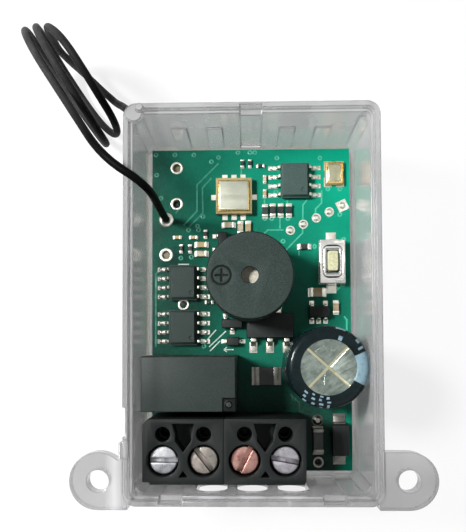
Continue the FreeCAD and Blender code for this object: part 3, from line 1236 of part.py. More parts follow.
# Lengths along X and Y of the flat pads, and how far their middles are from the part's middle or edge
CHIP_PAD = (1.3, 0.62)
REGULATOR_PAD = (1.1, 1.5)
REGULATOR_TAB_PAD = (3.3, 1.5)
REGULATOR_PAD_BACK = 0.5         # from the lead's tip
SMALL_PAD = (0.65, 0.6)
SMALL_PAD_BACK = 0.1
PAD_PAST_END = 0.15              # a chip part's pads, as a share of its length
SWITCH_PAD = (1.4, 1.2)
SWITCH_PAD_OUT = 0.65
POWER_DIODE_PAD = (1.7, 1.5)
POWER_DIODE_PAD_OUT = 0.6
FUSE_PAD_LENGTH = 0.8
FUSE_PAD_PITCH = 3.1
FILTER_PAD = (0.75, 1.2)
FILTER_PAD_PITCH = 1.27
FILTER_PAD_OUT = 0.1
CRYSTAL_PAD = (1.1, 1.3)
CRYSTAL_PAD_PITCH = (1.7, 2.3)


def surface_pads():
    """The flat pads under the surface parts."""
    pads = []

    def pad(x, y, size):
        pads.append(block(x, y, 0, size[0], size[1], PAD_THICKNESS))

    for cx, cy in [RECEIVER_CHIP] + LOGIC_CHIPS:
        offset = CHIP_WIDTH / 2 + CHIP_LEAD_REACH
        for y in chip_rows(cy):
            pad(cx - offset, y, CHIP_PAD)
            pad(cx + offset, y, CHIP_PAD)
    x, y = REGULATOR
    reach = REGULATOR_LENGTH / 2 + REGULATOR_REACH - REGULATOR_PAD_BACK
    for i in (-1, 0, 1):
        pad(x + i * REGULATOR_PITCH, y - reach, REGULATOR_PAD)
    pad(x, y + reach, REGULATOR_TAB_PAD)
    for x, y, heading, width in small_lead_spots():
        step = SMALL_REACH - SMALL_PAD_BACK
        turn = math.radians(heading)
        pad(x + step * math.cos(turn), y + step * math.sin(turn), SMALL_PAD)
    for x, y, upright, size in CHIP_CAPACITORS + CHIP_RESISTORS:
        length, width, height = SIZES[size]
        along = length * (END_SHARE + PAD_PAST_END)
        for ex, ey in end_spots(x, y, upright, length * (1 + PAD_PAST_END), END_SHARE):
            pad(ex, ey, (width, along) if upright else (along, width))
    for side in (-1, 1):
        pad(SWITCH_X, SWITCH_Y + side * (SWITCH_LENGTH / 2 + SWITCH_PAD_OUT), SWITCH_PAD)
        edge = POWER_DIODE_LENGTH / 2 + POWER_DIODE_PAD_OUT
        pad(POWER_DIODE[0], POWER_DIODE[1] + side * edge, POWER_DIODE_PAD)
        pad(FUSE[0], FUSE[1] + side * FUSE_PAD_PITCH / 2, (FUSE_WIDTH, FUSE_PAD_LENGTH))
        edge = FILTER_SIZE / 2 + FILTER_PAD_OUT
        for i in (-1, 0, 1):
            pad(FILTER[0] + i * FILTER_PAD_PITCH, FILTER[1] + side * edge, FILTER_PAD)
        pad(FILTER[0] + side * edge, FILTER[1], FILTER_PAD[::-1])
        for other in (-1, 1):
            pad(CRYSTAL[0] + side * CRYSTAL_PAD_PITCH[0] / 2, CRYSTAL[1] + other * CRYSTAL_PAD_PITCH[1] / 2,
                CRYSTAL_PAD)
    return pads


def test_pads():
    """The row of solder-filled pads; the last one is square."""
    pads = []
    step = math.radians(TEST_PAD_HEADING)
    for i in range(TEST_PAD_COUNT):
        x = TEST_PAD_START[0] + i * TEST_PAD_PITCH * math.cos(step)
        y = TEST_PAD_START[1] + i * TEST_PAD_PITCH * math.sin(step)
        if i < TEST_PAD_COUNT - 1:
            flat = disc(x, y, 0, TEST_PAD_RADIUS, PAD_THICKNESS)
        else:
            flat = block(x, y, 0, TEST_PAD_SQUARE, TEST_PAD_SQUARE, PAD_THICKNESS)
            flat = turned(flat, x, y, TEST_PAD_HEADING)
        dome = Part.makeCone(TEST_PAD_RADIUS * 0.75, TEST_PAD_RADIUS * 0.35, 0.2, V(x, y, PAD_THICKNESS))
        pads.append(joined([flat, dome]))
    return pads


def solder_cone(x, y, pin):
    """A cone of solder round a pin end, under the board."""
    z0 = -BOARD_THICKNESS - SOLDER_HEIGHT
    cone = Part.makeCone(SOLDER_TIP_RADIUS, SOLDER_ROOT_RADIUS, SOLDER_HEIGHT, V(x, y, z0))
    return cone.cut(pin)


def solder_joints():
    """The solder round every pin under the board."""
    joints = []
    for x, y, r in round_pin_spots():
        joints.append(solder_cone(x, y, disc(x, y, -9, r + SMALL_GAP, 18)))
    for x, y in terminal_pin_spots():
        pin = block(x, y, -9, CONTACT_PIN_WIDTH + 2 * SMALL_GAP, CONTACT_THICKNESS + 2 * SMALL_GAP, 18)
        z0 = -BOARD_THICKNESS - SOLDER_HEIGHT
        cone = Part.makeCone(SOLDER_TIP_RADIUS + FLAT_PIN_EXTRA, SOLDER_ROOT_RADIUS + FLAT_PIN_EXTRA,
                             SOLDER_HEIGHT, V(x, y, z0))
        joints.append(cone.cut(pin))
    x, y = FUSE_HOLES[0]
    joints.append(joined([disc(x, y, -BOARD_THICKNESS, FUSE_HOLE_RADIUS - SMALL_GAP, BOARD_THICKNESS + 0.1),
                          Part.makeCone(FUSE_RING_RADIUS, 0.3, FUSE_SOLDER_HEIGHT, V(x, y, PAD_THICKNESS))]))
    return joints


# Antenna, in the row frame

def across():
    """Unit vector in the coil's plane, from its far side to the case."""
    turn = math.radians(COIL_HEADING)
    return V(math.cos(turn), math.sin(turn), 0)


def along_axis():
    """Unit vector along the coil's axis."""
    turn = math.radians(COIL_HEADING + 90)
    return V(math.cos(turn), math.sin(turn), 0)


def coil_place(s, z, drift):
    """A point by its place in the coil's plane and its drift along the axis."""
    return V(COIL_X, COIL_Y, z) + across() * s + along_axis() * drift


def coil_middle_height():
    """The height of the coil's axis."""
    return COIL_RADIUS + WIRE_RADIUS + COIL_OFF_TABLE


def quarter(degrees):
    """The number of a quarter turn's end in COIL_DRIFTS."""
    return round((degrees - COIL_START) / 90) + 1


def coil_reach(degrees):
    """How far the turns reach from the axis at a quarter turn's end, or on average beside it."""
    side = quarter(degrees) - 1
    before = COIL_REACHES[max(0, (side - 1) // 2)]
    after = COIL_REACHES[min(side // 2, len(COIL_REACHES) - 1)]
    return (before + after) / 2


def coil_point(degrees):
    """A point of the full turns, at a quarter turn's end."""
    a = math.radians(degrees)
    return coil_place(coil_reach(degrees) * math.cos(a), coil_middle_height() + COIL_RADIUS * math.sin(a),
                      COIL_DRIFTS[quarter(degrees)])


def coil_heading(degrees):
    """The unit direction of the wire at a quarter turn's end."""
    a = math.radians(degrees)
    number = quarter(degrees)
    way = across() * (-coil_reach(degrees) * math.sin(a)) + V(0, 0, COIL_RADIUS * math.cos(a))
    way = way + along_axis() * ((COIL_DRIFTS[number + 1] - COIL_DRIFTS[number - 1]) / math.pi)
    return way.normalize()


def last_bend_point():
    """The end of the smaller bend, and the wire's direction there."""
    a = math.radians(180 + LAST_BEND)
    s = -COIL_REACHES[-1] + LAST_BEND_RADIUS * (1 + math.cos(a))
    z = coil_middle_height() + LAST_BEND_RADIUS * math.sin(a)
    rise = LAST_BEND - 90
    way = across() * math.cos(math.radians(rise)) + V(0, 0, math.sin(math.radians(rise)))
    way = way + along_axis() * 0.05
    return coil_place(s, z, COIL_DRIFTS[-1]), way.normalize()


def arc_by_tangent(start, corner, end):
    """The arc from start to end that is tangent to both lines through corner."""
    middle = (start + end) * 0.5
    half = start.distanceToPoint(middle)
    rise = corner.distanceToPoint(middle)
    sagitta = half * math.tan(math.atan2(rise, half) / 2)
    return Part.Arc(start, middle + (corner - middle).normalize() * sagitta, end)


def biarc(p0, t0, p1, t1):
    """Two tangent arcs from p0 to p1 with the given directions at the ends."""
    v = p1 - p0
    t = t0 + t1
    a = 2 * (t0.dot(t1) - 1)
    if abs(a) < 1e-9:
        d = v.dot(v) / (4 * v.dot(t1))
    else:
        d = (v.dot(t) - math.sqrt(v.dot(t) ** 2 - a * v.dot(v))) / a
    q0 = p0 + t0 * d
    q1 = p1 - t1 * d
    join = (q0 + q1) * 0.5
    return [arc_by_tangent(p0, q0, join), arc_by_tangent(join, q1, p1)]


def coil_ends():
    """The two straight ends of the coil: (outer point, inner point) of each."""
    first = coil_point(COIL_START)
    last, way = last_bend_point()
    length = 2 * WIRE_RADIUS
    return first - coil_heading(COIL_START) * length, first, last, last + way * length


def swept(edges):
    """A round wire along edges."""
    path = Part.Wire([e.toShape() for e in edges])
    first = edges[0]
    start = first.value(first.FirstParameter)
    way = first.tangent(first.FirstParameter)[0]
    profile = Part.Wire([Part.Circle(start, way, WIRE_RADIUS).toShape()])
    return path.makePipeShell([profile], True, False)


def coil_edges():
    """The coil's path: a straight end, biarcs of a quarter turn each, a straight end."""
    outer, first, last, tip = coil_ends()
    edges = [Part.LineSegment(outer, first)]
    for a in range(COIL_START, COIL_ROUND_END, 90):
        edges += biarc(coil_point(a), coil_heading(a), coil_point(a + 90), coil_heading(a + 90))
    edges += biarc(coil_point(COIL_ROUND_END), coil_heading(COIL_ROUND_END), last, last_bend_point()[1])
    edges.append(Part.LineSegment(last, tip))
    return edges


def run_edges(points):
    """Straight runs joined by tangent arcs."""
    edges = []
    start = points[0]
    for before, corner, after in zip(points, points[1:], points[2:]):
        back = (before - corner).normalize()
        on = (after - corner).normalize()
        reach = BEND_SHARE * min(corner.distanceToPoint(before), corner.distanceToPoint(after))
        arc_start = corner + back * reach
        arc_end = corner + on * reach
        half_turn = (math.pi - back.getAngle(on)) / 2
        print(f"  bend radius {reach / math.tan(half_turn):.2f}, turn {math.degrees(2 * half_turn):.1f}")
        edges.append(Part.LineSegment(start, arc_start))
        edges.append(arc_by_tangent(arc_start, corner, arc_end))
        start = arc_end
    edges.append(Part.LineSegment(start, points[-1]))
    return edges


def lead_points():
    """The lead's route, from the pad to the coil."""
    x, y = ANTENNA_HOLE
    foot = V(x, y + CASE_CENTRE_Y + BOARD_SHIFT_Y, BOARD_TOP + PAD_THICKNESS)
    end = coil_ends()[0]
    before = end - coil_heading(COIL_START) * LEAD_LAST_RUN
    return [foot, foot + V(0, 0, LEAD_RISE)] + [V(*p) for p in LEAD_ROUTE] + [before, end]


def tail_points():
    """The free end's route, from the coil to the case's corner."""
    start = coil_ends()[3]
    way = last_bend_point()[1]
    points = [start, start + way * TAIL_FIRST_RUN]
    for i, (s, z) in enumerate(TAIL_ROUTE):
        points.append(coil_place(s, z, COIL_DRIFTS[-1] + TAIL_DRIFT * (i + 1) / len(TAIL_ROUTE)))
    return points


def path_length(edges):
    """The length of a path."""
    return sum(e.length() for e in edges)


def least_own_gap(edges):
    """The smallest gap between the coil and itself, on points half a turn or more apart."""
    points = []
    for edge in edges:
        count = max(2, int(edge.length() / 0.4))
        points += [edge.value(edge.FirstParameter + (edge.LastParameter - edge.FirstParameter) * i / count)
                   for i in range(count)]
    apart = int(math.pi * COIL_RADIUS / 0.4)
    best = 99.0
    for i, p in enumerate(points):
        for q in points[i + apart:]:
            best = min(best, p.distanceToPoint(q))
    return best - 2 * WIRE_RADIUS


def save_antenna():
    """The lead, the coil and the free end of the antenna wire."""
    section = math.pi * WIRE_RADIUS ** 2
    routes = {"antenna_lead": run_edges(lead_points()), "antenna_coil": coil_edges(),
              "antenna_tail": run_edges(tail_points())}
    total = 0
    for node, edges in routes.items():
        tube = swept(edges)
        length = path_length(edges)
        total += length
        print(f"  {node} length {length:.2f}, section times length {section * length:.3f}")
        save(node, [tube])
    print(f"  antenna length {total:.1f}, coil gap {least_own_gap(routes['antenna_coil']):.3f}")


# All parts

def save_terminals():
    """Both terminal blocks."""
    save_on_board("terminal_housing_left", [terminal_housing(0)])
    save_on_board("terminal_housing_right", [terminal_housing(1)])
    for i in range(POLE_COUNT):
        save_on_board(f"terminal_screw_{i + 1}", [terminal_screw(i)])
        save_on_board(f"terminal_cage_{i + 1}", [terminal_cage(i)])
    save_on_board("terminal_contacts", [terminal_contact(i) for i in range(POLE_COUNT)])


def save_relay():
    """The relay with all that is inside it."""
    save_on_board("relay_cover", [relay_cover()])
    save_on_board("relay_base", [relay_base()])
    save_on_board("relay_bobbin", [relay_bobbin()])
    save_on_board("relay_winding", [relay_winding()])
    save_on_board("relay_yoke", [relay_yoke()])
    save_on_board("relay_armature", [relay_armature()])
    save_on_board("relay_moving_contact", [relay_moving_contact()])
    save_on_board("relay_fixed_contacts", [relay_post(NORMALLY_OPEN_X, 1), relay_post(NORMALLY_CLOSED_X, -1)])
    save_on_board("relay_pins", relay_pins())


def save_buzzer():
    """The buzzer with its inner parts."""
    save_on_board("buzzer_case", [buzzer_case()])
    save_on_board("buzzer_base", [buzzer_base()])
    save_on_board("buzzer_magnet", [ring(BUZZER_X, BUZZER_Y, BUZZER_BASE_TOP, MAGNET_RADIUS, MAGNET_BORE,
                                         MAGNET_HEIGHT)])
    coil_height = MAGNET_HEIGHT - COIL_BELOW_MAGNET
    save_on_board("buzzer_coil", [ring(BUZZER_X, BUZZER_Y, BUZZER_BASE_TOP, VOICE_COIL_RADIUS,
                                       POLE_RADIUS + SMALL_GAP, coil_height)])
    save_on_board("buzzer_core", [disc(BUZZER_X, BUZZER_Y, BUZZER_BASE_TOP, POLE_RADIUS, MAGNET_HEIGHT)])
    save_on_board("buzzer_diaphragm", [buzzer_diaphragm()])
    save_on_board("buzzer_pins", buzzer_pins())


def save_capacitor():
    """The electrolytic capacitor with its inner parts."""
    save_on_board("capacitor_sleeve", [capacitor_sleeve()])
    save_on_board("capacitor_can", [capacitor_can()])
    save_on_board("capacitor_element", [disc(CAPACITOR_X, CAPACITOR_Y, ELEMENT_BOTTOM, ELEMENT_RADIUS,
                                             ELEMENT_HEIGHT)])
    save_on_board("capacitor_bung", [capacitor_bung()])
    save_on_board("capacitor_leads", capacitor_leads())


def save_switch():
    """The push switch."""
    save_on_board("switch_base", [switch_base()])
    save_on_board("switch_frame", [switch_frame()])
    save_on_board("switch_button", [switch_button()])
    save_on_board("switch_dome", [switch_dome()])
    save_on_board("switch_leads", switch_leads())


def save_surface_parts():
    """All the small parts that lie flat on the board."""
    save_on_board("receiver_chip", [chip_body(*RECEIVER_CHIP)])
    save_on_board("receiver_chip_leads", chip_leads(*RECEIVER_CHIP))
    save_on_board("logic_chips", [chip_body(x, y) for x, y in LOGIC_CHIPS])
    save_on_board("logic_chip_leads", chip_leads(*LOGIC_CHIPS[0]) + chip_leads(*LOGIC_CHIPS[1]))
    x, y = REGULATOR
    save_on_board("regulator", [moulded(x, y, REGULATOR_WIDTH, REGULATOR_LENGTH, REGULATOR_HEIGHT)])
    save_on_board("regulator_leads", regulator_leads())
    save_on_board("small_bodies", small_bodies())
    save_on_board("small_leads", small_leads())
    filter_base, filter_lid = lidded(FILTER[0], FILTER[1], FILTER_SIZE, FILTER_SIZE, FILTER_BASE_HEIGHT,
                                     FILTER_LID_HEIGHT, FILTER_LIP)
    crystal_base, crystal_lid = lidded(CRYSTAL[0], CRYSTAL[1], CRYSTAL_WIDTH, CRYSTAL_LENGTH,
                                       CRYSTAL_BASE_HEIGHT, CRYSTAL_LID_HEIGHT, CRYSTAL_LIP)
    save_on_board("ceramic_bases", [filter_base, crystal_base])
    save_on_board("ceramic_lids", [filter_lid, crystal_lid])
    x, y = POWER_DIODE
    save_on_board("power_diode", [moulded(x, y, POWER_DIODE_WIDTH, POWER_DIODE_LENGTH, POWER_DIODE_HEIGHT)])
    save_on_board("power_diode_tabs", power_diode_tabs())
    x, y = FUSE
    fuse = block(x, y, PAD_THICKNESS, FUSE_WIDTH - 0.1, FUSE_LENGTH - 2 * FUSE_END, FUSE_HEIGHT - 0.05)
    save_on_board("chip_resistors", chip_middles(CHIP_RESISTORS) + [fuse])
    save_on_board("chip_capacitors", chip_middles(CHIP_CAPACITORS))
    save_on_board("chip_ends", chip_ends())


os.makedirs("parts", exist_ok=True)
save("case_tray", [case_tray()])
save_on_board("circuit_board", [circuit_board()])
save_on_board("board_pads", ring_pads() + surface_pads() + test_pads())
save_on_board("solder_joints", solder_joints())
save_terminals()
save_relay()
save_buzzer()
save_capacitor()
save_switch()
save_surface_parts()
save_antenna()
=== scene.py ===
"""Looks of a gate remote receiver: a clear tray, its circuit board and a wound aerial wire.

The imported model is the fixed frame. Each class dresses one sub-assembly: it gives CAD nodes a finish,
puts softened copies in the place of hard-edged ones, and models what the frame leaves out, such as
solder, tracks and the aerial. Sizes are in millimetres and become metres where Blender takes them.
"""

from __future__ import annotations

import json
import logging
import math
from collections.abc import Callable, Iterable, Sequence
from dataclasses import dataclass
from enum import Enum
from functools import cache, partial, reduce

import bpy
from mathutils import Matrix, Vector

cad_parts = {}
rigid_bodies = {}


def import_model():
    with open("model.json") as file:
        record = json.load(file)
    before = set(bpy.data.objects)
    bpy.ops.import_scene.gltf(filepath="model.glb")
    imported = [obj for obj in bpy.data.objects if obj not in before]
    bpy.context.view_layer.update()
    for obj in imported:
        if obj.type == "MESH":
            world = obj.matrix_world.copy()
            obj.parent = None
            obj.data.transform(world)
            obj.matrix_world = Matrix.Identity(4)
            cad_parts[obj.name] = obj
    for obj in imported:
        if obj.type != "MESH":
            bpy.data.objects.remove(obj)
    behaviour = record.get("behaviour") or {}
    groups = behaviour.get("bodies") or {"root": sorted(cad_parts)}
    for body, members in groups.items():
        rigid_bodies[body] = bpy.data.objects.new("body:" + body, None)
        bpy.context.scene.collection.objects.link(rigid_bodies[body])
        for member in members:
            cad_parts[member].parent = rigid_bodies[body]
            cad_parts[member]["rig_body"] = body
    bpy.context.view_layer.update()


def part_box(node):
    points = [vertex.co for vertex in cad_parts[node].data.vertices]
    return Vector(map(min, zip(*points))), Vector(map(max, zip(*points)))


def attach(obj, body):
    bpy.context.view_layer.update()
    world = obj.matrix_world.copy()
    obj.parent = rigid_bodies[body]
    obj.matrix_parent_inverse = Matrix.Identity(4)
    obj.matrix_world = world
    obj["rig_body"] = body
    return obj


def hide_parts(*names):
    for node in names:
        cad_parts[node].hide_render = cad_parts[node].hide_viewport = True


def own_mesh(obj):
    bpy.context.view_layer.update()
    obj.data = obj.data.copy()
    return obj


MM = 0.001
DOUBLE = 0.0005
FLAT_ANGLE = 0.6
EDGE_LIKENESS = (0.72, 0.98)
LOG = logging.getLogger("receiver")

Spot = tuple[float, float]
Triple = tuple[float, float, float]
Four = tuple[float, float, float, float]
Colour = Triple
Profile = Sequence[Spot]
Material = bpy.types.Material
Piece = bpy.types.Object
Socket = bpy.types.NodeSocket
Value = Socket | float | Sequence[float]


# Modelling steps


def deselect() -> None:
    """Leaves nothing selected."""
    bpy.ops.object.select_all(action="DESELECT")


def only(piece: Piece) -> None:
    """Leaves one object selected and active.

    Args:
        piece: The object.
    """
    deselect()
    piece.select_set(True)
    bpy.context.view_layer.objects.active = piece


def settle(piece: Piece, name: str) -> Piece:
    """Moves a piece's place, turn and size into its mesh.

    Args:
        piece: The object to settle.
        name: Its name from now on.

    Returns:
        The same object.
    """
    only(piece)
    bpy.ops.object.transform_apply(location=True, rotation=True, scale=True)
    piece.name = name
    piece.data.name = name
    return piece


def edit(piece: Piece, mode: str = "FACE", action: str = "SELECT") -> None:
    """Opens edit mode on piece.

    Args:
        piece: The object to edit.
        mode: VERT, EDGE or FACE.
        action: SELECT or DESELECT, for all of it.
    """
    only(piece)
    bpy.ops.object.mode_set(mode="EDIT")
    bpy.ops.mesh.select_mode(type=mode)
    bpy.ops.mesh.select_all(action=action)


def done() -> None:
    """Closes edit mode."""
    bpy.ops.object.mode_set(mode="OBJECT")


def pick(piece: Piece, mode: str, test: Callable[[Vector, Vector], bool]) -> None:
    """Opens edit mode with the faces or edges selected that pass the test.

    Args:
        piece: The object to edit.
        mode: FACE or EDGE.
        test: Takes a face's centre and normal, or an edge's two ends.
    """
    edit(piece, mode, "DESELECT")
    done()
    points = [vertex.co for vertex in piece.data.vertices]
    if mode == "FACE":
        for face in piece.data.polygons:
            face.select = test(face.center, face.normal)
    else:
        for edge in piece.data.edges:
            edge.select = test(points[edge.vertices[0]], points[edge.vertices[1]])
    bpy.ops.object.mode_set(mode="EDIT")


def outward(piece: Piece, threshold: float = 0.0002) -> None:
    """Merges a piece's doubles and turns its faces outwards.

    Args:
        piece: The object to change.
        threshold: How far apart doubles may be, in millimetres.
    """
    edit(piece)
    bpy.ops.mesh.remove_doubles(threshold=threshold * MM)
    bpy.ops.mesh.normals_make_consistent(inside=False)
    done()


def apply_modifier(piece: Piece, kind: str, **settings: object) -> None:
    """Adds one modifier and applies it.

    Args:
        piece: The object to change.
        kind: The modifier's type.
        settings: Its properties by name.
    """
    modifier = piece.modifiers.new(kind.lower(), kind)
    for name, value in settings.items():
        setattr(modifier, name, value)
    only(piece)
    bpy.ops.object.modifier_apply(modifier=modifier.name)


def smooth(piece: Piece, angle: float = 34.0) -> None:
    """Shades a piece smooth up to an angle in degrees."""
    only(piece)
    bpy.ops.object.shade_smooth_by_angle(angle=math.radians(angle))


def soften_edges(piece: Piece, width: float, segments: int = 2, angle: float = 38.0,
                 material: int = -1) -> None:
    """Rounds a piece's sharp edges and smooths its shading.

    Args:
        piece: The object to change.
        width: Width of the rounding, in millimetres.
        segments: Faces across the rounding.
        angle: The least angle between faces that counts as an edge, in degrees.
        material: The material slot of the roundings; -1 keeps that of their neighbours.
    """
    apply_modifier(piece, "BEVEL", width=width * MM, segments=segments, limit_method="ANGLE",
                   angle_limit=math.radians(angle), material=material, use_clamp_overlap=False,
                   harden_normals=False)
    smooth(piece)


def join(pieces: Sequence[Piece], name: str) -> Piece:
    """Joins objects into the first.

    Args:
        pieces: One or more mesh objects.
        name: The name of the result.

    Returns:
        The joined object, settled.
    """
    deselect()
    for piece in pieces:
        piece.select_set(True)
    bpy.context.view_layer.objects.active = pieces[0]
    if len(pieces) > 1:
        bpy.ops.object.join()
    return settle(pieces[0], name)


def add_block(centre: Vector, size: Sequence[float], turn: float = 0.0) -> Piece:
    """Adds a box primitive.

    Args:
        centre: Its middle, in metres.
        size: Its three sides, in millimetres.
        turn: Its turn about the upright, in radians.

    Returns:
        The new object.
    """
    deselect()
    bpy.ops.mesh.primitive_cube_add(size=1, location=centre)
    piece = bpy.context.object
    piece.scale = Vector(size) * MM
    piece.rotation_euler.z = turn
    return piece


def slabs(name: str, boxes: Iterable[tuple[Vector, Sequence[float], float]], width: float) -> Piece:
    """Joins thin boxes into one piece and rounds it a little.

    Args:
        name: The piece's name.
        boxes: The middle, size and turn of each, as add_block takes them.
        width: Width of the rounding, in millimetres.

    Returns:
        The piece.
    """
    piece = join([add_block(*box) for box in boxes], name)
    soften_edges(piece, width, 1, 60.0)
    return piece


def lathe(name: str, foot: Vector, profile: Profile, sides: int = 64, closed: bool = False) -> Piece:
    """Turns a profile about an upright line, by drawing a circle up through its steps.

    Args:
        name: The piece's name.
        foot: The point that heights are counted from, in metres.
        profile: (radius, height) steps, in millimetres.
        sides: Sides of the circle.
        closed: True to join the last step to the first.

    Returns:
        The turned piece, settled.
    """
    deselect()
    radius, height = profile[0]
    bpy.ops.mesh.primitive_circle_add(vertices=sides, radius=radius * MM, location=(0, 0, 0))
    piece = bpy.context.object
    edit(piece, "VERT")
    bpy.ops.transform.translate(value=(0, 0, height * MM))
    for next_radius, next_height in [*profile[1:], *profile[:1 if closed else 0]]:
        rise = (next_height - height) * MM
        bpy.ops.mesh.extrude_region_move(TRANSFORM_OT_translate={"value": (0, 0, rise)})
        share = next_radius / radius
        bpy.ops.transform.resize(value=(share, share, 1), center_override=(0, 0, 0))
        radius, height = next_radius, next_height
    done()
    outward(piece, DOUBLE)
    piece.location = foot
    return settle(piece, name)


def turnings(name: str, items: Iterable[tuple[Vector, Profile]], sides: int, angle: float) -> Piece:
    """Turns closed profiles, each at its own place, and joins them into one smooth piece.

    Args:
        name: The piece's name.
        items: The foot and the profile of each, as lathe takes them.
        sides: Sides of the circles.
        angle: The shading's angle, in degrees.

    Returns:
        The piece.
    """
    made = [lathe(name, foot, profile, sides, True) for foot, profile in items]
    piece = join(made, name)
    smooth(piece, angle)
    return piece


def copies(master: Piece, places: Iterable[Vector], size: Triple, name: str) -> Piece:
    """Puts copies of a small master at many places, each with its own mesh, as one piece.

    Args:
        master: A mesh modelled round the origin. It is removed.
        places: Where the copies go, in metres.
        size: Their size along each axis.
        name: The piece's name.

    Returns:
        The joined piece.
    """
    made = []
    for place in places:
        twin = master.copy()
        twin.data = master.data.copy()
        twin.location = place
        twin.scale = size
        bpy.context.collection.objects.link(twin)
        made.append(twin)
    bpy.data.objects.remove(master)
    return join(made, name)


# Finishes


class Grain(Enum):
    """How a finish's fine marks lie."""

    CAST = "cast"
    BRUSHED = "brushed"
    TURNED = "turned"


def scaled(colour: Colour, share: float) -> Colour:
    """A colour made darker or paler by a share."""
    return tuple(share * part for part in colour)


class Bench:
    """Fills one node tree."""

    def __init__(self, tree: bpy.types.NodeTree) -> None:
        """Empties the tree.

        Args:
            tree: The material's or the world's tree.
        """
        self.tree = tree
        tree.nodes.clear()
        self.place = self.add("TexCoord").outputs["Object"]

    def feed(self, socket: Socket, value: Value) -> None:
        """Links or sets an input.

        Args:
            socket: The input.
            value: The output to link to it, or its plain value.
        """
        if isinstance(value, Socket):
            self.tree.links.new(value, socket)
        elif socket.type == "RGBA":
            socket.default_value = (*value, 1)
        else:
            socket.default_value = value

    def add(self, kind: str, inputs: dict[str | int, Value] | None = None,
            **settings: object) -> bpy.types.Node:
        """Adds a node.

        Args:
            kind: Its type, without the words that all types start with.
            inputs: What its inputs get, by their names or numbers.
            settings: Its properties.

        Returns:
            The node.
        """
        node = self.tree.nodes.new(f"ShaderNode{kind}")
        for name, setting in settings.items():
            setattr(node, name, setting)
        for key, value in (inputs or {}).items():
            self.feed(node.inputs[key], value)
        return node

    def math(self, kind: str, *values: Value) -> Socket:
        """One step of arithmetic on sockets or numbers."""
        return self.add("Math", dict(enumerate(values)), operation=kind).outputs[0]

    def times(self, *values: Value) -> Socket:
        """The product of sockets or numbers."""
        return reduce(partial(self.math, "MULTIPLY"), values)

    def plus(self, *values: Value) -> Socket:
        """The sum of sockets or numbers."""
        return reduce(partial(self.math, "ADD"), values)

    def most(self, *values: Value) -> Socket:
        """The greatest of sockets or numbers."""
        return reduce(partial(self.math, "MAXIMUM"), values)

    def ramp(self, value: Socket, low: float, high: float, to_low: float = 0.0,
             to_high: float = 1.0) -> Socket:
        """Maps a value from one range to another, held at the ends."""
        numbers = dict(enumerate((value, low, high, to_low, to_high)))
        return self.add("MapRange", numbers, clamp=True).outputs[0]

    def fade(self, value: Socket, low: float, high: float, *to: float) -> Socket:
        """A ramp over a range that is given in millimetres."""
        return self.ramp(value, low * MM, high * MM, *to)

    def span(self, value: Socket, low: float, high: float, soft: float) -> Socket:
        """1 where a value in metres lies between low and high millimetres, with soft ends."""
        rise = self.fade(value, low - soft, low + soft)
        return self.times(rise, self.fade(value, high - soft, high + soft, 1.0, 0.0))

    def parts(self, vector: Socket | None = None) -> Sequence[Socket]:
        """The three parts of a vector, of the place by default."""
        return self.add("SeparateXYZ", {0: vector or self.place}).outputs[:3]


class NodeBench(Bench):
    """Builds one material round a Principled shader."""

    def __init__(self, name: str, **values: float) -> None:
        """Starts a material.

        Args:
            name: The material's name.
            values: The shader's plain values; underscores stand for spaces in their names.
        """
        self.material = bpy.data.materials.new(name)
        self.material.use_nodes = True
        super().__init__(self.material.node_tree)
        self.shader = self.add("BsdfPrincipled")
        for socket, value in values.items():
            self.shader.inputs[socket.replace("_", " ")].default_value = value
        self.output = self.add("OutputMaterial", {"Surface": self.shader.outputs["BSDF"]})

    def stretched(self, scale: Sequence[float], move: Sequence[float] = (0, 0, 0),
                  turn: float = 0.0) -> Socket:
        """Object coordinates moved by metres, turned by degrees about the upright and scaled."""
        inputs = {"Vector": self.place, "Location": move, "Rotation": (0, 0, math.radians(turn)),
                  "Scale": [1 / s for s in scale]}
        return self.add("Mapping", inputs, vector_type="TEXTURE").outputs["Vector"]

    def noise(self, size: float, detail: float = 3.0, rough: float = 0.55,
              vector: Socket | None = None) -> Socket:
        """Noise whose blotches are about size millimetres wide, or size units of the vector."""
        inputs = {"Scale": 1 / size if vector else 1 / (size * MM), "Detail": detail, "Roughness": rough,
                  "Vector": vector or self.place}
        return self.add("TexNoise", inputs).outputs["Fac"]

    def cells(self, size: float, output: str, feature: str = "F1") -> Socket:
        """A cell pattern whose cells are about size millimetres wide."""
        inputs = {"Scale": 1 / (size * MM), "Vector": self.place}
        return self.add("TexVoronoi", inputs, feature=feature).outputs[output]

    def mix(self, factor: Socket, first: Value, second: Value) -> Socket:
        """Mixes two colours, each a colour or a socket."""
        return self.add("Mix", {0: factor, 6: first, 7: second}, data_type="RGBA").outputs[2]

    def edges(self, width: float) -> Socket:
        """Finds edges and inner corners.

        Args:
            width: How far from them their effect reaches, in millimetres.

        Returns:
            An output that is 1 along them and 0 on the faces.
        """
        rounded = self.add("Bevel", {"Radius": width * MM}, samples=6).outputs["Normal"]
        true = self.add("NewGeometry").outputs["Normal"]
        likeness = self.add("VectorMath", {0: rounded, 1: true}, operation="DOT_PRODUCT")
        return self.ramp(likeness.outputs["Value"], *EDGE_LIKENESS, 1.0, 0.0)

    def finish(self, colour: Socket, rough: Socket, height: Socket, strength: float,
               depth: float) -> Material:
        """Joins the patterns to the shader.

        Args:
            colour: The base colour.
            rough: The roughness.
            height: The height of the bumps.
            strength: Their strength, from 0 to 1.
            depth: Their depth, in millimetres.

        Returns:
            The material.
        """
        bump = self.add("Bump", {"Height": height, "Strength": strength, "Distance": depth * MM})
        for name, socket in (("Base Color", colour), ("Roughness", rough), ("Normal", bump.outputs[0])):
            self.feed(self.shader.inputs[name], socket)
        return self.material


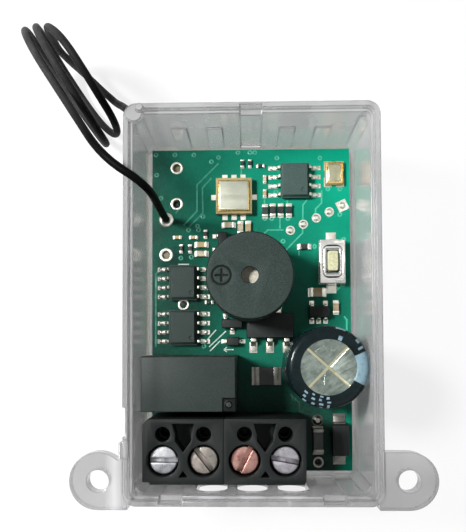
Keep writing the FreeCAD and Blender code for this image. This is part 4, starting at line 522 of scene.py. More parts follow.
@dataclass(frozen=True)
class Moulded:
    """Moulded opaque plastic or epoxy with a fine grain and a little dust."""

    name: str
    colour: Colour
    dust: Colour
    rough: float = 0.55
    grain: float = 0.16
    depth: float = 0.012
    shine: float = 0.2
    recess_shade: Spot | None = None
    edge: float = 0.5
    speck: float = 0.62

    def build(self) -> Material:
        """Makes the grain, the dust, the worn edges and the painted shade of a recess.

        Returns:
            The material.
        """
        bench = NodeBench(self.name, Specular_IOR_Level=self.shine)
        fine = bench.noise(self.grain, 2.0)
        broad = bench.noise(self.grain * 22, 4.0, 0.6)
        speckle = bench.times(bench.ramp(fine, 0.3, 0.7), bench.ramp(broad, 0.3, 0.7, 0.55, 1.0))
        base = bench.mix(speckle, scaled(self.colour, self.speck), self.colour)
        worn = bench.times(bench.edges(0.07), bench.ramp(broad, 0.4, 0.6, 0.3, 1.0), self.edge)
        base = bench.mix(worn, base, self.dust)
        # Painted shade: the band of heights of a recess, such as the relay's notch, is darkened to a tenth
        # of the colour.
        if self.recess_shade:
            base = bench.mix(bench.span(bench.parts()[2], *self.recess_shade, 0.02), base, scaled(self.colour, 0.1))
        rough = bench.ramp(bench.plus(fine, broad), 0.6, 1.4, self.rough - 0.08, self.rough + 0.1)
        return bench.finish(base, rough, fine, 0.55, self.depth)


@dataclass(frozen=True)
class Metal:
    """Bare or plated metal with two tints and fine marks, with painted shade at the board's left and front.
    """

    name: str
    tint: Colour
    other: Colour
    rough: Spot = (0.22, 0.42)
    grain: Grain = Grain.CAST
    size: float = 0.5
    depth: float = 0.01
    turn: float = 0.0
    painted_shade: float = 0.0
    painted_shade_left: Spot = (-11.4, -11.1)
    painted_shade_below: Spot = (6.2, 6.4)
    painted_shade_front: Spot = (-7.0, -4.6)

    def build(self) -> Material:
        """Makes the two tints, the marks and the painted shade.

        Returns:
            The material.
        """
        bench = NodeBench(self.name, Metallic=1.0)
        blotch = bench.noise(self.size * 2.2, 4.0, 0.62)
        if self.grain is Grain.BRUSHED:
            across = 1000 / self.size
            way = bench.stretched((60 / self.size, across, across), turn=self.turn)
            marks = bench.noise(1.0, 3.0, 0.6, way)
        elif self.grain is Grain.TURNED:
            marks = bench.noise(self.size * 0.35, 5.0, 0.7)
        else:
            marks = bench.noise(self.size * 0.7, 3.0, 0.6)
        base = bench.mix(bench.ramp(blotch, 0.32, 0.66), self.tint, self.other)
        # Painted shade: the metal is darkened at the board's left, below the height of the chips' top leads,
        # and at the board's front, where the real leads lie in shade.
        if self.painted_shade:
            x, y, _ = bench.parts()
            left = bench.fade(x, *self.painted_shade_left, self.painted_shade, 0.0)
            left = bench.times(left, bench.fade(y, *self.painted_shade_below, 1.0, 0.0))
            front = bench.fade(y, *self.painted_shade_front, self.painted_shade, 0.0)
            base = bench.mix(bench.most(left, front), base, scaled(self.other, 0.1))
        return bench.finish(base, bench.ramp(marks, 0.3, 0.7, *self.rough), marks, 0.6, self.depth)


@dataclass(frozen=True)
class ClearPlastic:
    """Clear grey plastic of the tray: flow marks, handling haze, and light let through to what is inside."""

    name: str = "clear_plastic"
    colour: Colour = (0.80, 0.80, 0.805)
    deep: Colour = (0.68, 0.68, 0.685)
    shade: Colour = (0.16, 0.16, 0.165)
    passed: Colour = (0.86, 0.86, 0.86)
    left: Spot = (-15.8, -11.5)
    left_rear: Spot = (4, 12)
    right: Spot = (13.2, 14.2)
    ears: Spot = (12.5, 16.2)
    left_ear: Spot = (-17.6, -16.4)
    front: Spot = (-21, -14)
    front_left: Spot = (-14, -9)

    def build(self) -> Material:
        """Makes the plastic, shaded at the left, at the right wall, at the ears and in front.

        Returns:
            The material.
        """
        bench = NodeBench(self.name, IOR=1.3, Transmission_Weight=0.68)
        flow = bench.noise(1.0, 2.0, 0.5, bench.stretched((130, 130, 40)))
        haze = bench.noise(1.2, 4.0, 0.6)
        x, y, _ = bench.parts()
        left = bench.times(bench.span(x, *self.left, 0.5), bench.fade(y, *self.left_rear, 0.42, 0.27))
        right = bench.fade(x, *self.right, 0.0, 0.2)
        ears = bench.fade(bench.math("ABSOLUTE", x), *self.ears, 0.0, 0.07)
        left_ear = bench.fade(x, *self.left_ear, 0.38, 0.0)
        front = bench.times(bench.fade(y, *self.front, 0.3, 0.0), bench.fade(x, *self.front_left))
        shade = bench.plus(left, right, ears, left_ear, front)
        base = bench.mix(bench.ramp(flow, 0.3, 0.7), self.deep, self.colour)
        bench.finish(bench.mix(shade, base, self.shade), bench.ramp(haze, 0.35, 0.75, 0.14, 0.25),
                     bench.noise(7.0, 2.0, 0.5), 0.3, 0.1)
        rays = bench.add("LightPath").outputs
        let_by = bench.most(rays["Is Shadow Ray"], rays["Is Diffuse Ray"])
        through = bench.add("BsdfTransparent", {"Color": self.passed})
        mix = bench.add("MixShader", {0: let_by, 1: bench.shader.outputs[0], 2: through.outputs[0]})
        bench.feed(bench.output.inputs["Surface"], mix.outputs[0])
        return bench.material


@dataclass(frozen=True)
class SolderMask:
    """Green varnish over glass laminate, darker at the left and front and brighter at the right as painted
    light and shade, with the laminate bare on the sides.
    """

    name: str = "solder_mask"
    bright: Colour = (0.003, 0.37, 0.225)
    dark: Colour = (0.008, 0.022, 0.017)
    laminate: Colour = (0.30, 0.33, 0.13)
    rough: float = 0.36
    width: Spot = (-16.5, 14)
    rear: Spot = (1, 19)
    front: Spot = (-13, -6)
    margin: Spot = (11.2, 12.8)
    margin_end: Spot = (-20.5, -17.5)

    def build(self) -> Material:
        """Makes the green tones with their painted light and shade, the cloth and the bare sides.

        Returns:
            The material.
        """
        bench = NodeBench(self.name, Specular_IOR_Level=0.08, Coat_Weight=0.03, Coat_Roughness=0.12)
        x, y, _ = bench.parts()
        # Painted light and shade: the green is darkened towards the left and the front, where the real board
        # lies in shade, and kept bright towards the rear and along the right margin.
        middle = bench.times(bench.fade(y, *self.rear, 0.45, 1.0), bench.fade(y, *self.front, 0.12, 1.0))
        margin = bench.fade(y, *self.margin_end, 1.0, 0.45)
        margin = bench.times(bench.fade(x, *self.margin, 0.0, 0.9), margin)
        broad = bench.noise(5.0, 3.0, 0.5)
        pour = bench.cells(3.4, "Distance", "SMOOTH_F1")
        cloth = bench.plus(*(bench.noise(1.0, 2.0, 0.5, bench.stretched(way))
                             for way in ((1500, 9000, 1500), (9000, 1500, 1500))))
        tone = bench.plus(
            bench.times(bench.fade(x, *self.width), bench.most(middle, margin)),
            bench.ramp(broad, 0.3, 0.75, -0.04, 0.08), bench.ramp(pour, 0.2, 0.6, -0.04, 0.04),
            bench.ramp(cloth, 0.7, 1.3, -0.05, 0.05))
        mask = bench.mix(tone, self.dark, self.bright)
        upright = bench.math("ABSOLUTE", bench.parts(bench.add("NewGeometry").outputs["Normal"])[2])
        layers = bench.noise(1.0, 2.0, 0.6, bench.stretched((300, 300, 9000)))
        edge = bench.mix(bench.ramp(layers, 0.35, 0.65), scaled(self.laminate, 0.5), self.laminate)
        colour = bench.mix(bench.ramp(upright, 0.4, 0.6), edge, mask)
        rough = bench.ramp(broad, 0.3, 0.7, self.rough - 0.06, self.rough + 0.1)
        return bench.finish(colour, rough, cloth, 0.25, 0.01)


@dataclass(frozen=True)
class Varnished:
    """Copper under green varnish: tracks and small filled holes."""

    name: str = "varnished_copper"
    bright: Colour = (0.07, 0.52, 0.34)
    dark: Colour = (0.03, 0.13, 0.095)

    def build(self) -> Material:
        """Makes the copper, with painted light brighter to the right and painted shade at the front.

        Returns:
            The material.
        """
        bench = NodeBench(self.name, Specular_IOR_Level=0.25, Coat_Weight=0.1, Coat_Roughness=0.1)
        blotch = bench.noise(0.9, 3.0, 0.6)
        x, y, _ = bench.parts()
        # Painted light and shade, as on the varnish: brighter to the right, darkened at the front.
        tone = bench.plus(bench.fade(x, -14, 10, 0.0, 0.75), bench.ramp(blotch, 0.35, 0.65, 0.0, 0.25))
        lit = bench.mix(tone, self.dark, self.bright)
        colour = bench.mix(bench.fade(y, -13, -6), scaled(self.dark, 0.3), lit)
        rough = bench.ramp(blotch, 0.3, 0.7, 0.2, 0.36)
        return bench.finish(colour, rough, bench.noise(0.15, 2.0), 0.3, 0.01)


@dataclass(frozen=True)
class ShrunkSleeve:
    """The capacitor's shrunk sleeve: black and glossy, with a pale stripe and plain printed marks."""

    centre: Spot
    name: str = "shrunk_sleeve"
    colour: Colour = (0.003, 0.007, 0.008)
    print_colour: Colour = (0.22, 0.34, 0.40)
    stripe_angle: float = -2.0
    stripe_half: float = 25.0
    dash: float = 1.7
    dash_half: float = 6.0
    dash_end: Spot = (1.1, 1.14)
    marks: Sequence[Four] = (
        (68.0, 3.4, 3.45, 4.0), (72.0, 7.0, 4.75, 4.98), (42.0, 3.0, 4.5, 4.9), (31.0, 1.6, 4.1, 4.8),
        (227.0, 3.2, 3.9, 4.12), (229.0, 2.2, 4.35, 4.6), (233.0, 3.0, 4.8, 5.0), (240.0, 2.4, 3.6, 3.8),
        (243.0, 2.8, 4.05, 4.3), (246.0, 2.2, 4.6, 4.85), (256.0, 3.0, 3.5, 3.7), (255.0, 2.2, 3.9, 4.15),
        (258.0, 2.9, 4.4, 4.65), (259.0, 1.8, 4.85, 5.0), (268.0, 2.6, 3.55, 3.85), (270.0, 2.9, 4.1, 4.3),
        (269.0, 1.6, 4.5, 4.95))

    def around(self, bench: NodeBench, angle: float, half: float, soft: float) -> Socket:
        """1 near one direction round the sleeve.

        Args:
            bench: The material's bench.
            angle: The direction, in degrees.
            half: How far it reaches to each side, in degrees.
            soft: Its soft end, in degrees.

        Returns:
            The output.
        """
        x, y, _ = bench.parts(bench.stretched((1, 1, 1), (*self.centre, 0), angle))
        off = bench.math("ABSOLUTE", bench.math("ARCTAN2", y, x))
        return bench.ramp(off, math.radians(half), math.radians(half + soft), 1.0, 0.0)

    def build(self) -> Material:
        """Makes the scuffed black and what is printed on it.

        Returns:
            The material.
        """
        bench = NodeBench(self.name, Specular_IOR_Level=0.08, Coat_Weight=0.14, Coat_Roughness=0.05)
        centred = bench.stretched((1, 1, 1), (*self.centre, 0))
        flat = bench.add("VectorMath", {0: centred, 1: (1, 1, 0)}, operation="MULTIPLY")
        reach = bench.add("VectorMath", {0: flat.outputs[0]}, operation="LENGTH").outputs["Value"]
        middle = self.around(bench, self.stripe_angle, self.dash_half, 0.6)
        gap = bench.fade(bench.math("PINGPONG", bench.parts()[2], self.dash * MM), *self.dash_end)
        inside = self.around(bench, self.stripe_angle, self.stripe_half, 0.8)
        printed = bench.times(inside, bench.math("SUBTRACT", 1.0, bench.times(middle, gap)))
        for angle, half, inner, outer in self.marks:
            mark = bench.times(self.around(bench, angle, half, 0.5), bench.span(reach, inner, outer, 0.02))
            printed = bench.most(printed, mark)
        worn = bench.ramp(bench.noise(0.35, 3.0, 0.6), 0.3, 0.5, 0.7, 1.0)
        scuffs = bench.ramp(bench.noise(2.5, 4.0, 0.65), 0.35, 0.7)
        base = bench.mix(scuffs, self.colour, scaled(self.colour, 2.0))
        colour = bench.mix(bench.times(printed, worn), base, self.print_colour)
        rough = bench.ramp(scuffs, 0.0, 1.0, 0.2, 0.36)
        return bench.finish(colour, rough, bench.noise(1.8, 3.0, 0.55), 0.4, 0.06)


@dataclass(frozen=True)
class CanTop:
    """Crumpled bright aluminium with painted reflection on its facets and paler pressed lines under a height
    in metres.
    """

    line_height: float
    name: str = "can_aluminium"
    tint: Colour = (0.12, 0.15, 0.135)
    other: Colour = (0.36, 0.42, 0.375)
    line: Colour = (0.52, 0.50, 0.34)

    def build(self) -> Material:
        """Makes the crumpled metal, its facets lit and shaded in the colour, and its lines.

        Returns:
            The material.
        """
        bench = NodeBench(self.name, Metallic=1.0)
        # Painted reflection: cells and crumple noise make the colour lighter and darker from facet to facet,
        # as light falls on crumpled metal; the cells also bump it.
        tone = bench.parts(bench.cells(1.5, "Color"))[0]
        scratches = bench.noise(1.0, 4.0, 0.7, bench.stretched((700, 2600, 1000), turn=35.0))
        crumple_reflection = bench.ramp(bench.noise(1.1, 5.0, 0.7), 0.36, 0.64, 0.0, 0.5)
        mixed = bench.plus(bench.times(tone, 0.22), crumple_reflection, bench.ramp(scratches, 0.35, 0.7, 0.0, 0.25))
        level = self.line_height
        lines = bench.ramp(bench.parts()[2], level - 0.02 * MM, level + 0.03 * MM, 1.0, 0.0)
        colour = bench.mix(lines, bench.mix(mixed, self.tint, self.other), self.line)
        rough = bench.ramp(scratches, 0.3, 0.7, 0.24, 0.44)
        return bench.finish(colour, rough, bench.plus(tone, scratches), 0.4, 0.05)


@dataclass(frozen=True)
class WireJacket:
    """Matt black wire insulation, paler away from the case."""

    name: str = "wire_jacket"
    colour: Colour = (0.002, 0.002, 0.0023)
    far_colour: Colour = (0.085, 0.085, 0.086)
    near: float = -19.0
    far: float = -31.5

    def build(self) -> Material:
        """Makes the black, paler away from the case.

        Returns:
            The material.
        """
        bench = NodeBench(self.name, Specular_IOR_Level=0.04)
        film = bench.noise(1.6, 4.0, 0.6)
        away = bench.fade(bench.parts()[0], self.far, self.near, 1.0, 0.0)
        share = bench.times(away, bench.ramp(film, 0.3, 0.7, 0.55, 1.0))
        colour = bench.mix(share, self.colour, self.far_colour)
        rough = bench.ramp(film, 0.3, 0.7, 0.42, 0.6)
        return bench.finish(colour, rough, bench.noise(0.25, 2.0), 0.3, 0.02)


@dataclass(frozen=True)
class ChipCeramic:
    """Small chip parts' ceramic, whose tone changes from part to part."""

    name: str
    tint: Colour
    other: Colour
    size: float = 2.2

    def build(self) -> Material:
        """Makes the tone of each part.

        Returns:
            The material.
        """
        bench = NodeBench(self.name)
        tone = bench.ramp(bench.noise(self.size, 1.0, 0.4), 0.38, 0.62)
        grain = bench.noise(0.12, 2.0)
        rough = bench.ramp(grain, 0.3, 0.7, 0.34, 0.5)
        return bench.finish(bench.mix(tone, self.tint, self.other), rough, grain, 0.3, 0.01)


Finish = (Moulded | Metal | ClearPlastic | SolderMask | Varnished | ShrunkSleeve | CanTop | WireJacket
          | ChipCeramic)

CLEAR_PLASTIC = ClearPlastic()
# Painted shade: a deeper grey for the tray's rounded edges, standing for the dark lines that refraction
# draws along them.
CLEAR_EDGES = ClearPlastic("clear_edges", (0.60, 0.60, 0.605), (0.48, 0.48, 0.485))
BLOCK_PLASTIC = Moulded("block_plastic", (0.011, 0.014, 0.0135), (0.045, 0.048, 0.048), grain=0.2)
RELAY_PLASTIC = Moulded("relay_plastic", (0.034, 0.046, 0.043), (0.09, 0.11, 0.105), 0.45, 0.14,
                        recess_shade=(14.3, 14.86))
BUZZER_PLASTIC = Moulded("buzzer_plastic", (0.042, 0.066, 0.059), (0.07, 0.11, 0.11), 0.62, 0.13, 0.05,
                         recess_shade=(13.1, 13.26), speck=0.35)
CHIP_EPOXY = Moulded("chip_epoxy", (0.070, 0.116, 0.106), (0.12, 0.16, 0.15), grain=0.12)
# Painted shade: a darker copy of the chip epoxy for the chips at the board's left, which lie in the wall's
# shade.
SHADED_CHIP_EPOXY = Moulded("chip_epoxy_shaded", (0.044, 0.066, 0.060), (0.09, 0.12, 0.11), grain=0.12)
HOLE_FLUX = Moulded("hole_flux", (0.34, 0.31, 0.20), (0.40, 0.38, 0.28), rough=0.4, grain=0.2)
HOLE_SHADE = Moulded("hole_shade", (0.016, 0.030, 0.025), (0.03, 0.05, 0.04), rough=0.5, grain=0.2)
DISC_LACQUER = Moulded("disc_lacquer", (0.70, 0.66, 0.53), (0.76, 0.72, 0.6), rough=0.45, grain=0.25)
INNER_GREY = Moulded("inner_grey", (0.34, 0.38, 0.40), (0.5, 0.54, 0.56), rough=0.3, grain=0.2)
DARK_EPOXY = Moulded("dark_epoxy", (0.026, 0.032, 0.031), (0.07, 0.08, 0.08), grain=0.12)
BLACK_NYLON = Moulded("black_nylon", (0.016, 0.016, 0.017), (0.05, 0.05, 0.05), rough=0.5)
KEY_PLASTIC = Moulded("key_plastic", (0.80, 0.79, 0.50), (0.88, 0.87, 0.62), rough=0.4, grain=0.3)
BUNG_RUBBER = Moulded("bung_rubber", (0.018, 0.018, 0.018), (0.06, 0.06, 0.06), rough=0.75)
ROLLED_PAPER = Moulded("rolled_paper", (0.55, 0.48, 0.33), (0.65, 0.6, 0.45), rough=0.8)
BASE_CERAMIC = Moulded("base_ceramic", (0.50, 0.40, 0.19), (0.66, 0.56, 0.32), rough=0.5)

TINNED = Metal("tinned", (0.88, 0.87, 0.78), (0.72, 0.71, 0.62), (0.3, 0.5), painted_shade=0.8)
SOLDER = Metal("solder", (0.90, 0.89, 0.80), (0.68, 0.67, 0.60), (0.26, 0.42), depth=0.02, painted_shade=0.75)
# Painted shade: the contacts deep in the blocks' holes are near black, standing for the shade in those
# holes.
SHADED_CONTACT = Metal("contact_in_shade", (0.05, 0.05, 0.045), (0.02, 0.02, 0.02), (0.5, 0.7))
BRIGHT_STEEL = Metal("bright_steel", (0.85, 0.84, 0.80), (0.7, 0.7, 0.66), (0.16, 0.32), Grain.BRUSHED, 1.0)
PLATED_STEEL = Metal("plated_steel", (0.62, 0.62, 0.60), (0.48, 0.48, 0.46), (0.25, 0.45))
BRASS = Metal("brass", (0.80, 0.62, 0.30), (0.68, 0.50, 0.22), (0.2, 0.4))
COPPER_WIRE = Metal("enamelled_copper", (0.62, 0.25, 0.10), (0.45, 0.17, 0.07), (0.25, 0.4),
                    Grain.BRUSHED, 0.4, turn=90.0)
CORE_COPPER = Metal("core_copper", (0.30, 0.17, 0.11), (0.17, 0.10, 0.07), (0.35, 0.5))
MAGNET = Metal("sintered_magnet", (0.20, 0.20, 0.20), (0.13, 0.13, 0.13), (0.5, 0.7), size=0.3)
LID_NICKEL = Metal("lid_nickel", (0.62, 0.64, 0.52), (0.50, 0.52, 0.42), (0.3, 0.42), Grain.BRUSHED, 1.4)
SEAL_GOLD = Metal("seal_gold", (0.90, 0.70, 0.30), (0.76, 0.55, 0.20), (0.2, 0.34), size=0.8)
CRYSTAL_LID = Metal("crystal_lid", (0.60, 0.58, 0.40), (0.42, 0.40, 0.27), (0.3, 0.4), Grain.BRUSHED, 0.7)
SCREW_TINTS = (
    ((0.62, 0.64, 0.64), (0.27, 0.27, 0.30)), ((0.44, 0.37, 0.34), (0.22, 0.22, 0.19)),
    ((0.56, 0.33, 0.28), (0.30, 0.15, 0.13)), ((0.48, 0.47, 0.50), (0.24, 0.22, 0.25)))
SCREW_PLATINGS = tuple(
    Metal(f"screw_plating_{number}", tint, other, (0.22, 0.5), Grain.TURNED, 0.6, 0.05)
    for number, (tint, other) in enumerate(SCREW_TINTS, 1))
TAN_CERAMIC = ChipCeramic("tan_ceramic", (0.46, 0.34, 0.17), (0.62, 0.55, 0.40))
RESISTOR_BODY = ChipCeramic("resistor_body", (0.010, 0.012, 0.012), (0.025, 0.030, 0.028))
SILK_INK = ChipCeramic("silk_ink", (0.62, 0.72, 0.66), (0.45, 0.60, 0.52), 0.6)


@cache
def material_of(finish: Finish) -> Material:
    """The material of a finish, built once."""
    return finish.build()


def coat(piece: Piece, finish: Finish) -> None:
    """Gives a mesh one finish and no other."""
    piece.data.materials.clear()
    piece.data.materials.append(material_of(finish))


# Sub-assemblies


@dataclass
class SubAssembly:
    """What every sub-assembly shares: the board's place, and ways to hand pieces over."""

    def __post_init__(self) -> None:
        """Reads the board's place from the frame."""
        low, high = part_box("circuit_board")
        self.board_y = (low.y + high.y) / 2
        self.board_top = high.z
        self.board_bottom = low.z

    def at(self, x: float, y: float, z: float = 0.0) -> Vector:
        """A point in metres from its place on the board, in millimetres from its middle and top face."""
        return Vector((x * MM, self.board_y + y * MM, self.board_top + z * MM))

    def dress(self, finish: Finish, *nodes: str) -> None:
        """Gives CAD nodes a finish.

        Args:
            finish: The finish.
            nodes: The nodes' names.
        """
        for node in nodes:
            coat(bpy.data.objects[node], finish)
            LOG.info("dressed %s with %s", node, finish.name)

    def hand_over(self, piece: Piece, finish: Finish, slot: str, body: str = "base",
                  replaced: Sequence[str] = ()) -> Piece:
        """Gives a new piece its finish and body, and hides the nodes it stands for.

        Args:
            piece: The piece.
            finish: Its finish.
            slot: Not used.
            body: The CAD body that it rides on.
            replaced: The CAD nodes that it stands for.

        Returns:
            The piece.
        """
        coat(piece, finish)
        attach(piece, body)
        if replaced:
            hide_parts(*replaced)
        LOG.info("built %s on %s with %s", piece.name, body, finish.name)
        return piece

    def soften(self, node: str, name: str, width: float, finish: Finish, segments: int = 2,
               angle: float = 38.0) -> Piece:
        """Puts a softened copy in a CAD node's place: merged, its flat faces whole, its edges rounded.

        Args:
            node: The node.
            name: The new piece's name.
            width: Width of the rounding, in millimetres; 0 leaves the edges.
            finish: The finish.
            segments: Faces across the rounding.
            angle: The least angle that counts as an edge, in degrees.

        Returns:
            The new piece.
        """
        source = bpy.data.objects[node]
        piece = bpy.data.objects.new(name, source.data.copy())
        bpy.context.collection.objects.link(piece)
        piece.data.name = name
        only(piece)
        if piece.data.has_custom_normals:
            bpy.ops.mesh.customdata_custom_splitnormals_clear()
        edit(piece)
        bpy.ops.mesh.remove_doubles(threshold=DOUBLE * MM)
        bpy.ops.mesh.dissolve_limited(angle_limit=math.radians(FLAT_ANGLE))
        done()
        if width > 0:
            soften_edges(piece, width, segments, angle)
        else:
            smooth(piece)
        return self.hand_over(piece, finish, node, source["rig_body"], [node])


@dataclass
class ClearTray(SubAssembly):
    """The tray with its ears."""

    edge_round: float = 0.12

    def build(self) -> None:
        """Models and dresses the tray, whose rounded edges get a deeper grey as painted shade."""
        shell = self.soften("case_tray", "tray_shell", 0, CLEAR_PLASTIC)
        shell.data.materials.append(material_of(CLEAR_EDGES))
        soften_edges(shell, self.edge_round, material=1)


@dataclass
class CircuitBoard(SubAssembly):
    """The board's varnish, tracks, filled holes, print and solder."""

    track_width: float = 0.22
    track_height: float = 0.035
    via: Profile = ((0.13, 0.0), (0.16, 0.03), (0.26, 0.03), (0.34, 0.0))
    collar_inside: Profile = ((0.0, 0.0), (0.02, 0.05), (0.06, 0.08))
    collar_outside: Profile = ((-0.08, 0.08), (-0.01, 0.05), (0.0, 0.0))
    collar_lift: float = 0.01
    dome_pole: Spot = (0.02, 0.04)
    dome_waist: Spot = (0.6, 0.03)
    dome_foot: float = -0.08
    dome_play: float = 0.03
    overlap: float = 0.8
    track_step: float = 0.002
    track_round: float = 0.012
    bar_lift: float = 0.012
    bar_height: float = 0.03
    bar_round: float = 0.01
    pad_round: float = 0.02
    joint_round: float = 0.12
    tracks: Sequence[Sequence[Spot]] = (
        ((7.85, 15.16), (7.29, 14.46), (7.21, 10.53), (5.02, 8.3), (3.4, 6.8)),
        ((9.9, 16.41), (9.88, 14.72), (9.04, 13.88), (9.03, 13.18)),
        ((5.12, 15.05), (5.12, 14.48)),
        ((1.94, 15.5), (1.94, 13.95)),
        ((4.08, 13.08), (4.07, 11.26)),
        ((-1.28, 19.91), (-1.29, 18.78)),
        ((1.69, 10.29), (2.39, 10.99), (4.48, 10.97)),
        ((6.69, 8.01), (6.68, 7.45)),
        ((-4.56, 20.37), (-7.52, 17.43), (-7.53, 13.75), (-9.35, 11.79)),
        ((-5.55, 18.33), (-6.76, 17.0), (-6.69, 13.46), (-8.51, 11.65)),
        ((-10.48, 13.5), (-9.77, 14.34)),
        ((11.1, 9.9), (12.6, 8.4), (12.6, 3.2), (11.9, 2.5)),
        ((-12.9, 5.4), (-13.3, 4.9), (-13.3, -5.2)),
        ((12.9, -1.2), (13.2, -1.6), (13.2, -14.5)),
        ((5.4, -11.9), (6.6, -13.1), (6.6, -20.4)),
    )
    underside: Sequence[Sequence[Spot]] = (
        ((-11.13, -16.15), (-11.13, -12.6), (-9.0, -10.4), (-9.0, 4.6), (-6.2, 7.4), (-3.45, 7.4)),
        ((-6.05, -16.15), (-6.05, -11.0), (-3.6, -8.6), (-3.6, -2.0), (3.05, 3.7)),
        ((-0.97, -16.15), (-0.97, -11.4), (2.2, -8.2), (6.7, -8.2)),
        ((4.11, -16.15), (4.11, -13.5), (9.05, -15.3)),
        ((-11.85, 12.55), (-8.6, 15.8), (-4.0, 15.8), (1.2, 10.6), (1.2, 5.0)),
        ((11.7, -8.0), (12.9, -6.8), (12.9, 12.0), (10.4, 14.5)),
        ((9.1, -21.2), (12.6, -17.7), (12.6, -11.0)),
        ((-12.0, -10.0), (-12.9, -9.1), (-12.9, 6.0)),
    )
    vias: Sequence[Spot] = (
        (-8.71, 11.08), (-7.31, 11.07), (-6.69, 12.96), (-9.78, 7.15), (-7.45, 11.64), (-8.32, 7.28),
        (-1.75, 21.97), (-0.07, 21.95), (3.71, 21.13), (3.54, 16.33), (12.46, 16.66), (10.79, 16.68),
        (1.98, 12.61), (2.96, 12.6), (5.19, 12.58), (9.71, 21.06), (11.77, 2.74), (8.84, 8.62),
        (-13.3, 21.75), (-10.61, 21.72), (-7.94, 21.69), (-4.48, 21.3), (-5.48, 20.7), (-13.2, 18.9),
        (6.9, -11.9), (5.9, -12.5), (12.9, 9.6), (3.9, 19.6), (0.6, 21.95), (9.0, 13.0), (10.9, 13.0),
        (12.4, 13.1), (0.3, 9.6), (4.5, 9.4), (2.2, 9.3), (10.4, 6.6), (12.7, 3.3), (-12.6, 15.6),
        (-7.0, -4.3), (-6.6, -5.2),
    )
    bars: Sequence[tuple[float, float, float, float, float]] = (
        (-9.4, 6.26, 1.5, 0.16, 0.0),
        (-5.47, -3.56, 1.7, 0.16, 48.0),
        (-4.7, -4.2, 3.2, 0.16, 43.0),
        (-5.05, -5.17, 2.0, 0.16, 45.0),
        (-3.1, -5.68, 1.3, 0.14, 0.0),
        (-3.6, -5.5, 0.5, 0.14, 35.0),
        (-3.6, -5.86, 0.5, 0.14, -35.0),
    )
    rings: Sequence[Four] = (
        (-10.36, 19.84, 0.55, 0.87), (-10.36, 14.77, 0.55, 0.87), (-11.85, 7.59, 0.55, 0.96),
        (9.1, -21.2, 0.45, 0.78), (-9.43, 0.62, 0.5, 0.79),
    )
    fills: Sequence[Four] = (
        (-10.36, 19.84, -0.5, 0.56), (-11.85, 7.59, -0.35, 0.56))
    shades: Sequence[Four] = (
        (-10.36, 14.77, -0.6, 0.56), (9.1, -21.2, -0.5, 0.46), (-9.43, 0.62, 0.09, 0.53))

    def strips(self, name: str, routes: Sequence[Sequence[Spot]], z: float) -> Piece:
        """Thin raised strips along routes on a face of the board.

        Args:
            name: The piece's name.
            routes: Points in board millimetres.
            z: Height of the strips' middle over the board's top, in millimetres.

        Returns:
            The joined piece.
        """
        boxes = []
        for route in routes:
            for step, (start, end) in enumerate(zip(route, route[1:])):
                size = (math.dist(start, end) + self.track_width * self.overlap, self.track_width,
                        self.track_height + self.track_step * (step % 2))
                middle = self.at((start[0] + end[0]) / 2, (start[1] + end[1]) / 2, z)
                boxes.append((middle, size, math.atan2(end[1] - start[1], end[0] - start[0])))
        return slabs(name, boxes, self.track_round)

    def print_bars(self) -> Piece:
        """The few plain bars of print."""
        boxes = [(self.at(x, y, self.bar_lift), (length, width, self.bar_height), math.radians(turn))
                 for x, y, length, width, turn in self.bars]
        return slabs("board_print", boxes, self.bar_round)

    def collars(self) -> Piece:
        """A raised collar of solder on each open ring.

        Returns:
            The joined collars.
        """
        items = []
        for x, y, inner, outer in self.rings:
            profile = [(inner + away, z) for away, z in self.collar_inside]
            profile += [(outer + away, z) for away, z in self.collar_outside]
            items.append((self.at(x, y, self.collar_lift), profile))
        return turnings("ring_solder", items, 40, 60)

    def discs(self, name: str, spots: Sequence[Four]) -> Piece:
        """Low domes in the open rings: flux in some, and in others a dark disc painted as the shade inside
        the hole.

        Args:
            name: The piece's name.
            spots: Their places, heights and radii, in millimetres.

        Returns:
            The piece.
        """
        items = []
        share, waist = self.dome_waist
        for x, y, height, radius in spots:
            wall = radius - self.dome_play
            profile = [self.dome_pole, (share * radius, waist), (wall, 0.0), (wall, self.dome_foot),
                       (self.dome_pole[0], self.dome_foot)]
            items.append((self.at(x, y, height), profile))
        return turnings(name, items, 32, 40)

    def filled_holes(self) -> Piece:
        """The small filled holes under the varnish."""
        ring = turnings("via", [(Vector(), self.via)], 16, 60)
        return copies(ring, [self.at(x, y) for x, y in self.vias], (1, 1, 1), "board_vias")

    def build(self) -> None:
        """Models and dresses the board."""
        self.dress(SolderMask(), "circuit_board")
        self.soften("board_pads", "pad_tinning", self.pad_round, TINNED, 1)
        self.soften("solder_joints", "pin_solder", self.joint_round, SOLDER)
        below = -(self.board_top - self.board_bottom) / MM
        self.hand_over(self.strips("board_tracks", self.tracks, 0.01), Varnished(), "circuit_board")
        self.hand_over(self.strips("underside_tracks", self.underside, below), Varnished(), "circuit_board")
        self.hand_over(self.filled_holes(), Varnished(), "circuit_board")
        self.hand_over(self.print_bars(), SILK_INK, "circuit_board")
        self.hand_over(self.collars(), SOLDER, "solder_joints")
        self.hand_over(self.discs("hole_flux_fills", self.fills), HOLE_FLUX, "solder_joints")
        # Painted shade: dark discs stand for the shade inside these open holes.
        self.hand_over(self.discs("hole_shade_discs", self.shades), HOLE_SHADE, "solder_joints")


